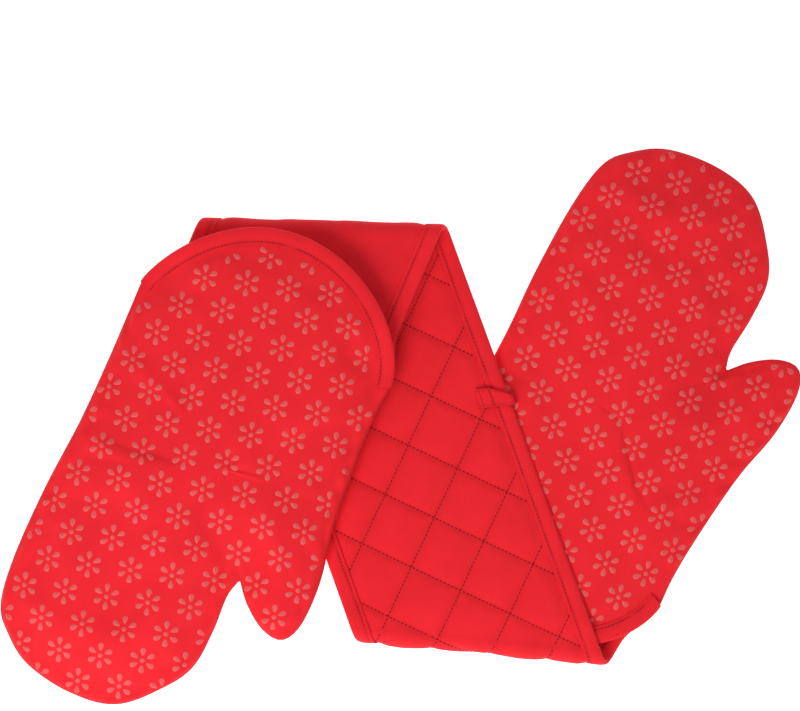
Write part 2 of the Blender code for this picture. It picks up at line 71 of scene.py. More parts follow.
class Hand(Enum):
    """The two mitts, by the CAD name that starts their nodes."""

    UPPER = "left"
    LOWER = "right"


class Ply(Enum):
    """The three cloths of a quilted panel."""

    SHELL = "shell"
    WADDING = "wadding"
    LINING = "lining"


class Stretch(Enum):
    """The stretches of the folded strap, from the upper mitt to the lower one."""

    UPPER_LEG = "left_back"
    TOP_FOLD = "top_fold"
    MIDDLE = "strap"
    BOTTOM_FOLD = "bottom_fold"
    LOWER_LEG = "right_back"


# ---------------------------------------------------------------- small formulas


def smooth(value: Array) -> Array:
    """Ease from 0 to 1 while the value goes from 0 to 1, as 3x^2 - 2x^3."""
    value = np.clip(value, 0.0, 1.0)
    return value * value * (3.0 - 2.0 * value)


def dome(value: Array) -> Array:
    """A quarter ellipse: 0 at 0, rising steeply and level at 1."""
    return np.sqrt(np.clip(1.0 - (1.0 - np.clip(value, 0.0, 1.0)) ** 2, 0.0, 1.0))


def unit(vectors: Array) -> Array:
    """Vectors scaled to length 1 along the last axis."""
    return vectors / np.maximum(np.linalg.norm(vectors, axis=-1, keepdims=True), 1e-9)


def ripple(x: Array, y: Array, length: float, seed: int, waves: int = 9) -> Array:
    """Soft uneven relief between about -1 and 1.

    A sum of sine waves that run in random directions, each with a wavelength near the given one.

    Args:
        x: First flat coordinate.
        y: Second flat coordinate.
        length: Typical distance between two crests.
        seed: Start of the random draws.
        waves: Number of waves that are added.

    Returns:
        The relief at each point.
    """
    draw = np.random.default_rng(seed)
    total = np.zeros(np.broadcast(x, y).shape)
    for _ in range(waves):
        turn = draw.uniform(0.0, 2.0 * math.pi)
        pace = 2.0 * math.pi / (length * draw.uniform(0.7, 1.6))
        total += np.sin(pace * (x * math.cos(turn) + y * math.sin(turn)) + draw.uniform(0.0, 2.0 * math.pi))
    return total / math.sqrt(waves * 2.0)


def spline(points: Sequence[tuple[float, float]], step: float) -> Array:
    """A Catmull-Rom curve through the points, as points at an even distance along it.

    Args:
        points: Corners of the curve, end to end.
        step: Distance between the points that come back.

    Returns:
        Points of the curve, with the two ends kept.
    """
    knots = np.array(points, float)
    knots = np.concatenate([[2 * knots[0] - knots[1]], knots, [2 * knots[-1] - knots[-2]]])
    t = np.linspace(0.0, 1.0, 16, endpoint=False)[:, None, None]
    a, b, c, d = knots[:-3], knots[1:-2], knots[2:-1], knots[3:]
    curve = 0.5 * (2 * b + (c - a) * t + (2 * a - 5 * b + 4 * c - d) * t**2 + (3 * b - a - 3 * c + d) * t**3)
    curve = np.concatenate([curve.transpose(1, 0, 2).reshape(-1, 2), knots[-2:-1]])
    return respace(curve, step)


def respace(curve: Array, step: float) -> Array:
    """Points at an even distance along a polyline, ends kept."""
    length = np.concatenate([[0.0], np.cumsum(np.linalg.norm(np.diff(curve, axis=0), axis=1))])
    even = np.linspace(0.0, length[-1], max(3, round(length[-1] / step) + 1))
    return np.stack([np.interp(even, length, curve[:, k]) for k in range(curve.shape[1])], axis=1)


def distance_to(curve: Array, u: Array, v: Array) -> Array:
    """Least distance from each point to a polyline, measured to each of its straight runs."""
    shape = np.broadcast(u, v).shape
    spots = np.stack(np.broadcast_arrays(u, v), axis=-1).reshape(-1, 1, 2)
    start, run = curve[:-1], np.diff(curve, axis=0)
    scale = np.maximum((run * run).sum(-1), 1e-12)
    nearest = np.full(len(spots), np.inf)
    for first in range(0, len(start), 40):
        part = slice(first, first + 40)
        away = spots - start[part]
        along = np.clip((away * run[part]).sum(-1) / scale[part], 0.0, 1.0)
        gap = np.linalg.norm(away - along[..., None] * run[part], axis=-1)
        nearest = np.minimum(nearest, gap.min(axis=-1))
    return nearest.reshape(shape)


def inside(outline: Array, u: Array, v: Array) -> Array:
    """True inside a closed outline, where a ray from the point crosses it an odd number of times."""
    ends = np.roll(outline, -1, axis=0)
    spots = np.stack(np.broadcast_arrays(u, v), axis=-1)[..., None, :]
    spans = (outline[:, 1] > spots[..., 1]) != (ends[:, 1] > spots[..., 1])
    rise = np.where(ends[:, 1] == outline[:, 1], 1e-9, ends[:, 1] - outline[:, 1])
    cross = outline[:, 0] + (spots[..., 1] - outline[:, 1]) / rise * (ends[:, 0] - outline[:, 0])
    return (spans & (spots[..., 0] < cross)).sum(-1) % 2 == 1


def inward(outline: Array) -> Array:
    """Inward unit normal at each point of a closed outline."""
    run = unit(np.roll(outline, -1, axis=0) - outline)
    mean = unit(run + np.roll(run, 1, axis=0))
    normal = np.stack([-mean[:, 1], mean[:, 0]], axis=1)
    ahead = np.roll(outline, -1, axis=0)
    area = np.sum(outline[:, 0] * ahead[:, 1] - outline[:, 1] * ahead[:, 0])
    return normal if area > 0.0 else -normal


# ---------------------------------------------------------------- sizes


@dataclass(frozen=True)
class Sandwich:
    """Thicknesses of a quilted panel and the way its edges are made."""

    skin: float = 0.7
    wadding: float = 2.9
    gap: float = 0.35
    tape: float = 0.8
    tape_width: float = 11.0
    taper: float = 5.5
    fold_radius: float = 7.5
    seam_round: float = 8.0
    seam_inset: float = 4.5
    filling: float = 1.0
    topstitch: float = 8.4
    cuff_topstitch: float = 8.8
    stitch_spacing: float = 2.5
    stitch_length: float = 1.9
    stitch_round: float = 0.3

    @property
    def panel(self) -> float:
        """Full thickness of a panel."""
        return 2 * self.skin + self.wadding + 2 * self.gap

    @property
    def pressed(self) -> float:
        """Thickness of a panel inside its binding."""
        return 2 * self.skin + self.gap

    @property
    def bend_start(self) -> float:
        """Flat distance from a hinge line back to the start of its bend: a quarter of the bend's circle."""
        return math.pi * self.fold_radius / 2


@dataclass(frozen=True)
class MittPattern:
    """Outline of a mitt, with u towards the thumb and v from the fingers to the cuff."""

    cuff: float = -5.0
    arch_height: float = 71.0
    flare: float = 37.0
    wadding_share: float = 0.36
    chord_half: float = 80.0
    far_row: float = -63.0
    near_row: float = 74.0
    bound_ease: float = 18.0
    join_start: float = 40.0
    join_length: float = 20.0
    join_half: float = 76.9
    hand_ease: float = 12.0
    heart: tuple[float, float] = (10.0, -100.0)
    fingertip: float = -284.0
    hand_side: tuple[tuple[float, float], ...] = (
        (-91.0, -5.0), (-91.0, -60.0), (-92.5, -110.0), (-97.0, -160.0), (-98.5, -212.0),
        (-94.5, -246.0), (-82.0, -263.0), (-61.0, -277.5), (-26.0, -284.0), (6.0, -278.5),
        (31.0, -255.0), (44.0, -234.0), (47.0, -206.0), (46.5, -180.0), (50.4, -166.0),
    )
    thumb_side: tuple[tuple[float, float], ...] = (
        (50.4, -166.0), (62.0, -180.0), (78.0, -191.5), (93.0, -193.0), (101.0, -178.0),
        (101.5, -146.0), (95.0, -108.0), (91.8, -60.0), (91.5, -26.0), (93.5, -5.0),
    )

    def side_seam(self, step: float) -> Array:
        """The turned seam from the far cuff corner round fingers and thumb to the near corner."""
        hand = spline(self.hand_side, step)
        thumb = spline(self.thumb_side, step)
        return np.concatenate([hand, thumb[1:]])

    def arch(self, step: float) -> Array:
        """Cuff edge of the palm from the near corner to the far one.

        A half wave raised to a power that is higher at the far corner, where the edge leaves the cuff
        line more gently.
        """
        turn = np.linspace(0.0, math.pi, 400)
        far, near = self.hand_side[0][0], self.thumb_side[-1][0]
        u = (far + near) / 2 + (near - far) / 2 * np.cos(turn)
        v = self.cuff + self.arch_height * np.sin(turn) ** (1.35 - 0.15 * np.cos(turn))
        return respace(np.stack([u, v], axis=1), step)


@dataclass(frozen=True)
class QuiltPattern:
    """Square cross-hatch of quilting lines, at 45 degrees to the strap."""

    pitch: float = 37.2
    anchor: tuple[float, float] = (28.0, 33.0)
    valley: float = 2.6
    pillow: float = 9.0
    depth: float = 1.25
    stitch: float = 2.9

    def offsets(self, u: Array, v: Array) -> tuple[Array, Array]:
        """Signed distance to the nearest line of each of the two directions."""
        across = ((u - self.anchor[0]) + (v - self.anchor[1])) / math.sqrt(2.0)
        along = ((u - self.anchor[0]) - (v - self.anchor[1])) / math.sqrt(2.0)
        half = self.pitch / 2
        return (across + half) % self.pitch - half, (along + half) % self.pitch - half

    def groove(self, u: Array, v: Array) -> Array:
        """1 on a quilting line, falling off as a bell curve to 0 beside it."""
        first, second = self.offsets(u, v)
        return np.maximum(np.exp(-((first / self.valley) ** 2)), np.exp(-((second / self.valley) ** 2)))

    def relief(self, u: Array, v: Array) -> Array:
        """Height of the pillows: level in the middle of a square, falling towards its stitched lines."""
        first, second = self.offsets(u, v)
        rise = (1 - np.exp(-np.abs(first) / self.pillow)) * (1 - np.exp(-np.abs(second) / self.pillow))
        return self.depth * (1.6 * rise - 1.0) - 0.55 * self.groove(u, v)

    def lining_relief(self, u: Array, v: Array) -> Array:
        """Relief of the lining: a rise along each quilting line and soft broad creases."""
        return 0.3 * self.groove(u, v) + 0.45 * ripple(u, v, 42.0, 71)

    def stitches(self, low: float, high: float, half_width: float) -> tuple[Array, Array]:
        """Flat places and directions of the quilting stitches of a stretch of the strap."""
        places, runs = [], []
        reach = int((abs(high) + abs(low) + 300.0) / self.pitch) + 2
        span = np.arange(-900.0, 900.0, self.stitch)
        for slant in (1.0, -1.0):
            course = np.array([1.0, slant]) / math.sqrt(2.0)
            normal = np.array([slant, -1.0]) / math.sqrt(2.0)
            for count in range(-reach, reach + 1):
                row = np.array(self.anchor) + normal * self.pitch * count + course * span[:, None]
                kept = (np.abs(row[:, 0]) < half_width) & (row[:, 1] > low) & (row[:, 1] < high)
                places.append(row[kept])
                runs.append(np.broadcast_to(course, (int(kept.sum()), 2)))
        return np.concatenate(places), np.concatenate(runs)


@dataclass(frozen=True)
class PrintPattern:
    """Silicone flowers printed on a palm in staggered rows."""

    column: tuple[float, float] = (27.65, 7.75)
    row: tuple[float, float] = (-8.0, -23.4)
    start_height: float = 80.0
    petals: int = 6
    inner: float = 3.0
    outer: float = 9.4
    petal_half: float = 2.05
    dot: float = 1.8
    raised: float = 0.18
    sunk: float = 0.12
    margin: float = 3.5


CLOTH = Sandwich()
MITT = MittPattern()
QUILT = QuiltPattern()
PRINT = PrintPattern()


# ---------------------------------------------------------------- folding the pattern


@dataclass
class Plan:
    """A flat frame on the table: u runs towards the thumb edge, v along the strap."""

    origin: Array
    u_axis: Array
    v_axis: Array

    def world(self, u: Array, v: Array) -> Array:
        """Place of flat coordinates on the table."""
        u, v = np.broadcast_arrays(np.asarray(u, float), np.asarray(v, float))
        return self.origin + u[..., None] * self.u_axis + v[..., None] * self.v_axis

    def local(self, xy: Array) -> tuple[Array, Array]:
        """Flat coordinates of a place on the table."""
        away = xy - self.origin
        return away @ self.u_axis, away @ self.v_axis


@dataclass
class Fold:
    """A hinge line on the table; inside is the side on which the strap lies."""

    point: Array
    along: Array
    into: Array
    child: str

    @classmethod
    def from_joint(cls, name: str, towards: Array) -> "Fold":
        """The fold of a hinge of the frame.

        Args:
            name: Name of the joint.
            towards: A place on the table that is inside the fold.

        Returns:
            The fold, with its axis and the side that it opens to.
        """
        joint = next(j for j in frame["joints"] if j["name"] == name)
        point = np.array(joint["pos_m"][:2]) / MM
        along = unit(np.array(joint["axis"][:2]))
        into = np.array([-along[1], along[0]])
        if (towards - point) @ into < 0.0:
            into = -into
        return cls(point, along, into, joint["child"])

    def depth(self, xy: Array) -> Array:
        """Distance from the hinge line, positive inside."""
        return (xy - self.point) @ self.into

    def reach(self, plan: Plan, u: Array, depth: float) -> Array:
        """v at which the line of constant u lies at a depth."""
        return (depth - self.depth(plan.world(u, 0.0 * u))) / (plan.v_axis @ self.into)

    def mirrored(self, vector: Array) -> Array:
        """A direction reflected in the hinge line."""
        return vector - 2.0 * (vector @ self.into)[..., None] * self.into


class FoldedPattern:
    """The flat pattern of strap and mitt backs, and the way it lies when folded."""

    half_width: float = 77.0
    offset: float = 6.0
    legs: dict[Hand, float] = {Hand.UPPER: 85.0, Hand.LOWER: 88.0}
    cavity: float = 13.0
    pressed_cavity: float = 6.0
    lower_edge: float = 95.0
    climb_start: float = 58.0
    climb_length: float = 56.0
    climb_margin: float = 1.2
    lower_rise: float = 45.0
    fold_approach: float = 22.0
    lean_length: float = 165.0
    press_edge: float = 30.0
    press_rise: float = 50.0
    space_rise: float = 50.0
    open_loss: float = 1.0

    def __init__(self) -> None:
        """Take the two hinge lines from the frame and lay out the three flat frames."""
        spots = {j["name"]: np.array(j["pos_m"][:2]) / MM for j in frame["joints"]}
        centre = (spots["top_fold"] + spots["bottom_fold"]) / 2
        along = unit(spots["bottom_fold"] - spots["top_fold"])
        self.length = float(np.linalg.norm(spots["bottom_fold"] - spots["top_fold"]))
        self.middle = Plan(centre, np.array([-along[1], along[0]]), along)
        self.top = Fold.from_joint("top_fold", centre)
        self.bottom = Fold.from_joint("bottom_fold", centre)
        self.folds = {Hand.UPPER: self.top, Hand.LOWER: self.bottom}
        self.sign = {Hand.UPPER: -1.0, Hand.LOWER: 1.0}
        self.plans = {hand: self.mitt_plan(hand) for hand in Hand}
        self.seam = MITT.side_seam(6.0)
        self.table_seams = {h: self.plans[h].world(self.seam[:, 0], self.seam[:, 1]) for h in Hand}

    def mitt_plan(self, hand: Hand) -> Plan:
        """Frame of a mitt: the strap's frame moved to its cuff and reflected in its hinge line."""
        fold, sign = self.folds[hand], self.sign[hand]
        away = self.middle.v_axis * sign
        flat = fold.point + away * self.legs[hand] - self.middle.u_axis * self.offset
        origin = fold.point + fold.mirrored(flat - fold.point)
        return Plan(origin, fold.mirrored(self.middle.u_axis), fold.mirrored(-away))

    def to_pattern(self, hand: Hand, u: Array, v: Array) -> tuple[Array, Array]:
        """Pattern coordinates of a point given in a mitt's frame."""
        edge = self.length / 2 + self.legs[hand]
        return u - self.offset, self.sign[hand] * (edge - v)

    def middle_base(self, xy: Array) -> Array:
        """Underside of the middle stretch, which climbs onto the lower mitt and up to its fold."""
        over = self.plans[Hand.LOWER].local(xy)[0] + self.lower_edge
        first = CLOTH.panel * 2 + CLOTH.gap + self.climb_margin
        climb = (first * smooth((over + self.climb_start) / self.climb_length)
                 + self.pressed_cavity * smooth(over / self.lower_rise))
        near = smooth((self.bottom.depth(xy) - CLOTH.bend_start) / self.fold_approach)
        return 2 * CLOTH.fold_radius * (1.0 - near) + climb * near

    def mitt_base(self, hand: Hand, xy: Array) -> Array:
        """Underside of a mitt: the upper one leans on its fingertips, the lower one lies flat."""
        if hand is Hand.LOWER:
            return np.zeros(xy.shape[:-1])
        above = self.plans[hand].local(xy)[1] - MITT.fingertip
        lean = np.clip(above / self.lean_length, 0.0, 1.0)
        return 2 * CLOTH.fold_radius * lean

    def hand_space(self, hand: Hand, xy: Array, side: Array) -> Array:
        """Clear height inside a mitt, easing to nothing at its side seam."""
        full = self.cavity
        if hand is Hand.LOWER:
            beside = self.middle.local(xy)[0] - self.half_width - self.press_edge
            free = smooth(beside / self.press_rise)
            full = self.pressed_cavity + (self.cavity - self.open_loss - self.pressed_cavity) * free
        return full * smooth(side / self.space_rise)

    def stand(self, base: Callable[[Array], Array], xy: Array, height: Array) -> Array:
        """Points at a height in a panel, measured square to the slope of its underside."""
        step = 0.5
        east, north = np.array([step, 0.0]), np.array([0.0, step])
        slope_x = (base(xy + east) - base(xy - east)) / (2 * step)
        slope_y = (base(xy + north) - base(xy - north)) / (2 * step)
        normal = unit(np.stack([-slope_x, -slope_y, np.ones_like(slope_x)], axis=-1))
        middle = np.concatenate([xy, base(xy)[..., None] + CLOTH.panel / 2], axis=-1)
        return middle + normal * (height - CLOTH.panel / 2)[..., None]

    def place(self, u: Array, v: Array, height: Array) -> Array:
        """Folded place of pattern points.

        Past a hinge line the strap is reflected in it and turned over.  Near the line it follows a half
        circle, whose length is that of the flat cloth between the two ends of the bend.

        Args:
            u: Pattern coordinate across the strap.
            v: Pattern coordinate along it, 0 half way between the hinge lines.
            height: Height from the lining's side, so that the shell is highest.

        Returns:
            Points in millimetres in the frame of the object.
        """
        u, v, height = np.broadcast_arrays(u, v, height)
        flat = self.middle.world(u, v)
        result = self.stand(self.middle_base, flat, height)
        for hand, upper in ((Hand.UPPER, False), (Hand.LOWER, True)):
            fold = self.folds[hand]
            depth = fold.depth(flat)
            beyond = (depth < -CLOTH.bend_start) & ((v < 0.0) == (hand is Hand.UPPER))
            turned = flat - 2.0 * depth[..., None] * fold.into
            leg = self.stand(lambda xy: self.mitt_base(hand, xy), turned, CLOTH.panel - height)
            result = np.where(beyond[..., None], leg, result)
            bend = (np.abs(depth) <= CLOTH.bend_start) & ((v < 0.0) == (hand is Hand.UPPER))
            turn = (CLOTH.bend_start - depth) / CLOTH.fold_radius
            side = 1.0 if upper else -1.0
            radius = CLOTH.fold_radius + side * (height - CLOTH.panel / 2)
            shift = CLOTH.bend_start - radius * np.sin(turn) - depth
            z = CLOTH.fold_radius + CLOTH.panel / 2 + side * radius * np.cos(turn)
            round_it = np.concatenate([flat + shift[..., None] * fold.into, z[..., None]], axis=-1)
            result = np.where(bend[..., None], round_it, result)
        return result

    def place_palm(self, hand: Hand, u: Array, v: Array, height: Array) -> Array:
        """Place of points of a palm, at a height in its panel, over the hand space.

        Args:
            hand: The mitt.
            u: Mitt coordinate towards the thumb.
            v: Mitt coordinate towards the cuff.
            height: Height from the underside of the palm's lining.

        Returns:
            Points in millimetres in the frame of the object.
        """
        u, v, height = np.broadcast_arrays(u, v, height)
        seam = self.table_seams[hand]

        def underside(xy: Array) -> Array:
            """Base of the palm panel: the mitt's base, the back panel, a gap and the hand space."""
            side = distance_to(seam, xy[..., 0], xy[..., 1])
            return self.mitt_base(hand, xy) + CLOTH.panel + CLOTH.gap + self.hand_space(hand, xy, side)

        return self.stand(underside, self.plans[hand].world(u, v), height)


# ---------------------------------------------------------------- meshes


@dataclass
class Surface:
    """Points, faces and flat coordinates of one cloth before it gets its thickness."""

    points: Array
    quads: Array
    triangles: Array
    flat: Array
    # on cloth the amount of painted shade (0 none, 1 the full shade colour); on the print the place on its
    # colour ramp
    relief: Array

    @classmethod
    def strip(cls, points: Array, flat: Array, relief: Array | None = None) -> "Surface":
        """A grid of rows and columns."""
        rows, columns = points.shape[:2]
        index = np.arange(rows * columns).reshape(rows, columns)
        shade = np.zeros(rows * columns) if relief is None else relief.reshape(-1)
        quads = quads_of(index)
        return cls(points.reshape(-1, 3), quads, np.zeros((0, 3), int), flat.reshape(-1, 2), shade)


def quads_of(index: Array) -> Array:
    """The four corners of each cell of a grid of point numbers."""
    corners = [index[:-1, :-1], index[1:, :-1], index[1:, 1:], index[:-1, 1:]]
    return np.stack(corners, axis=-1).reshape(-1, 4)


def make_mesh(name: str, surface: Surface) -> bpy.types.Object:
    """A mesh object in metres, with the flat coordinates as its UV map and the relief as an attribute, which
    holds the amount of painted shade on cloth and the place on the colour ramp on the print.

    Args:
        name: Name of the piece.
        surface: Its points and faces.

    Returns:
        The object, linked to the scene and shaded smooth.
    """
    mesh = bpy.data.meshes.new(name)
    faces = surface.quads.tolist() + surface.triangles.tolist()
    mesh.from_pydata((surface.points * MM).tolist(), [], faces)
    corner = np.zeros(len(mesh.loops), np.int32)
    mesh.loops.foreach_get("vertex_index", corner)
    layer = mesh.uv_layers.new(name=FLAT_UV)
    layer.data.foreach_set("uv", (surface.flat * MM)[corner].astype(np.float32).reshape(-1))
    shade = mesh.attributes.new(SHADE_AND_PRINT_RAMP, "FLOAT", "POINT")
    shade.data.foreach_set("value", surface.relief.astype(np.float32))
    mesh.shade_smooth()
    piece = bpy.data.objects.new(name, mesh)
    bpy.context.scene.collection.objects.link(piece)
    return piece


def thicken(piece: bpy.types.Object, thickness: float) -> bpy.types.Object:
    """Give a cloth its thickness on both sides of its middle surface, and keep its cut edges crisp."""
    solid = piece.modifiers.new("thickness", "SOLIDIFY")
    solid.thickness = thickness * MM
    solid.offset = 0.0
    graph = bpy.context.evaluated_depsgraph_get()
    thick = bpy.data.meshes.new_from_object(
        piece.evaluated_get(graph), preserve_all_data_layers=True, depsgraph=graph)
    thin = piece.data
    piece.modifiers.clear()
    piece.data = thick
    bpy.data.meshes.remove(thin)
    thick.name = piece.name
    thick.set_sharp_from_angle(angle=CUT_EDGE)
    return piece


def refine(piece: bpy.types.Object, levels: int) -> bpy.types.Object:
    """Round a cloth with Subdivision Surface."""
    rounder = piece.modifiers.new("rounding", "SUBSURF")
    rounder.levels = levels
    rounder.render_levels = levels
    rounder.boundary_smooth = "PRESERVE_CORNERS"
    return piece


def bead_shape(length: float, radius: float) -> tuple[Array, Array, Array]:
    """A short rounded bar along x: three rings of six points between two poles."""
    turn = np.arange(6) * math.pi / 3
    rings = []
    for place, share in ((-0.36, 0.72), (0.0, 1.0), (0.36, 0.72)):
        ring = np.stack([np.full(6, place * length), radius * share * np.cos(turn),
                         radius * share * np.sin(turn)], axis=1)
        rings.append(ring)
    points = np.concatenate(rings + [[[-length / 2, 0.0, 0.0], [length / 2, 0.0, 0.0]]])
    index = np.concatenate([np.arange(18).reshape(3, 6), np.arange(18).reshape(3, 6)[:, :1]], axis=1)
    first = [[18, (k + 1) % 6, k] for k in range(6)]
    last = [[19, 12 + k, 12 + (k + 1) % 6] for k in range(6)]
    return points, quads_of(index)[:, ::-1], np.array(first + last)


def stitch_surface(centres: Array, runs: Array, normals: Array, length: float, radius: float) -> Surface:
    """One bead for each stitch, laid along its run on the cloth.

    Args:
        centres: Middle of each stitch.
        runs: Unit direction of each stitch.
        normals: Unit normal of the cloth there.
        length: Length of a stitch.
        radius: Half its thickness.

    Returns:
        All the stitches as one surface.
    """
    points, quads, triangles = bead_shape(length, radius)
    side = np.cross(normals, runs)
    spots = (centres[:, None, :] + points[None, :, :1] * runs[:, None, :]
             + points[None, :, 1:2] * side[:, None, :] + points[None, :, 2:] * normals[:, None, :] * 0.8)
    start = (np.arange(len(centres)) * len(points))[:, None, None]
    flat = np.broadcast_to(points[:, :2], (len(centres), len(points), 2))
    return Surface(
        spots.reshape(-1, 3), (quads + start).reshape(-1, 4), (triangles + start).reshape(-1, 3),
        flat.reshape(-1, 2), np.zeros(spots.shape[0] * spots.shape[1]),
    )


def stitches_on(place: Callable[[Array, Array], Array], flat: Array, runs: Array,
                length: float, radius: float) -> Surface:
    """Stitches laid on a surface given as a function of flat coordinates.

    Args:
        place: Gives the surface's points for two flat coordinates.
        flat: Flat places of the stitches.
        runs: Their flat directions.
        length: Length of a stitch.
        radius: Half its thickness.

    Returns:
        All the stitches as one surface.
    """
    step = 0.4
    ahead = place(flat[:, 0] + runs[:, 0] * step, flat[:, 1] + runs[:, 1] * step)
    behind = place(flat[:, 0] - runs[:, 0] * step, flat[:, 1] - runs[:, 1] * step)
    left = place(flat[:, 0] - runs[:, 1] * step, flat[:, 1] + runs[:, 0] * step)
    right = place(flat[:, 0] + runs[:, 1] * step, flat[:, 1] - runs[:, 0] * step)
    course = unit(ahead - behind)
    normal = unit(np.cross(course, unit(left - right)))
    return stitch_surface(place(flat[:, 0], flat[:, 1]), course, normal, length, radius)


# ---------------------------------------------------------------- finishes


def value_node(tree: bpy.types.NodeTree, operation: str, *values: object) -> bpy.types.NodeSocket:
    """A Math node whose inputs are numbers or sockets; its output socket comes back."""
    node = tree.nodes.new("ShaderNodeMath")
    node.operation = operation
    for slot, value in zip(node.inputs, values):
        if isinstance(value, bpy.types.NodeSocket):
            tree.links.new(value, slot)
        else:
            slot.default_value = value
    return node.outputs[0]


def weave_group() -> bpy.types.NodeTree:
    """Plain weave with fibre and dye variation, over the flat pattern's UV map.

    The weave's height is the product of two sine waves at the thread pitch.  The tone adds broad patches
    of dye to short fibre streaks, around 1.
    """
    tree = bpy.data.node_groups.new("cotton_weave", "ShaderNodeTree")
    tree.interface.new_socket("Thread Pitch", in_out="INPUT", socket_type="NodeSocketFloat")
    tree.interface.new_socket("Patchiness", in_out="INPUT", socket_type="NodeSocketFloat")
    tree.interface.new_socket("Height", in_out="OUTPUT", socket_type="NodeSocketFloat")
    tree.interface.new_socket("Tone", in_out="OUTPUT", socket_type="NodeSocketFloat")
    given = tree.nodes.new("NodeGroupInput")
    result = tree.nodes.new("NodeGroupOutput")
    chart = tree.nodes.new("ShaderNodeUVMap")
    chart.uv_map = FLAT_UV
    split = tree.nodes.new("ShaderNodeSeparateXYZ")
    tree.links.new(chart.outputs["UV"], split.inputs[0])
    waves = []
    for axis in (0, 1):
        count = value_node(tree, "DIVIDE", split.outputs[axis], given.outputs["Thread Pitch"])
        waves.append(value_node(tree, "SINE", value_node(tree, "MULTIPLY", count, 2.0 * math.pi)))
    crossing = value_node(tree, "MULTIPLY", waves[0], waves[1])
    fibre = tree.nodes.new("ShaderNodeTexNoise")
    fibre.inputs["Scale"].default_value = 900.0
    fibre.inputs["Detail"].default_value = 3.0
    patch = tree.nodes.new("ShaderNodeTexNoise")
    patch.inputs["Scale"].default_value = 45.0
    patch.inputs["Detail"].default_value = 4.0
    for texture in (fibre, patch):
        tree.links.new(chart.outputs["UV"], texture.inputs["Vector"])
    fibre_tone = value_node(tree, "MULTIPLY", value_node(tree, "SUBTRACT", fibre.outputs[0], 0.5), 0.5)
    patch_tone = value_node(tree, "SUBTRACT", patch.outputs[0], 0.5)
    both = value_node(tree, "ADD", fibre_tone, patch_tone)
    tone = value_node(tree, "ADD", value_node(tree, "MULTIPLY", both, given.outputs["Patchiness"]), 1.0)
    height = value_node(tree, "ADD", value_node(tree, "MULTIPLY", crossing, 0.5), fibre.outputs[0])
    tree.links.new(height, result.inputs["Height"])
    tree.links.new(tone, result.inputs["Tone"])
    return tree


@dataclass(frozen=True)
class CottonFinish:
    """A dyed cotton cloth, with its weave, its dye and painted shade: a darker colour mixed in along its
    stitched grooves, seams and stitch dents.
    """

    name: str
    colour: tuple[float, float, float]
    # groove: colour of the painted shade in stitched grooves, seams and stitch dents
    groove: tuple[float, float, float]
    pitch: float = 0.0006
    patchiness: float = 0.22
    bump: float = 0.25
    roughness: float = 0.85
    sheen: float = 0.05

    def make(self, weave: bpy.types.NodeTree) -> bpy.types.Material:
        """The material: colour from dye and the painted groove shade, bump from the weave, a faint fuzz as
        sheen.
        """
        material = bpy.data.materials.new(self.name)
        material.use_nodes = True
        tree = material.node_tree
        shader = tree.nodes["Principled BSDF"]
        cloth = tree.nodes.new("ShaderNodeGroup")
        cloth.node_tree = weave
        cloth.inputs["Thread Pitch"].default_value = self.pitch
        cloth.inputs["Patchiness"].default_value = self.patchiness
        # the relief attribute is the amount of painted shade, mixing the dye towards the groove shade colour
        relief = tree.nodes.new("ShaderNodeAttribute")
        relief.attribute_name = SHADE_AND_PRINT_RAMP
        mix = tree.nodes.new("ShaderNodeMix")
        mix.data_type = "RGBA"
        mix.inputs["A"].default_value = (*self.colour, 1.0)
        mix.inputs["B"].default_value = (*self.groove, 1.0)
        tree.links.new(relief.outputs["Fac"], mix.inputs["Factor"])
        tint = tree.nodes.new("ShaderNodeVectorMath")
        tint.operation = "SCALE"
        tree.links.new(mix.outputs["Result"], tint.inputs[0])
        tree.links.new(cloth.outputs["Tone"], tint.inputs["Scale"])
        tree.links.new(tint.outputs[0], shader.inputs["Base Color"])
        bump = tree.nodes.new("ShaderNodeBump")
        bump.inputs["Strength"].default_value = self.bump
        bump.inputs["Distance"].default_value = 0.00025
        tree.links.new(cloth.outputs["Height"], bump.inputs["Height"])
        tree.links.new(bump.outputs[0], shader.inputs["Normal"])
        shader.inputs["Roughness"].default_value = self.roughness
        shader.inputs["Specular IOR Level"].default_value = 0.12
        shader.inputs["Sheen Weight"].default_value = self.sheen
        shader.inputs["Sheen Roughness"].default_value = 0.5
        return material


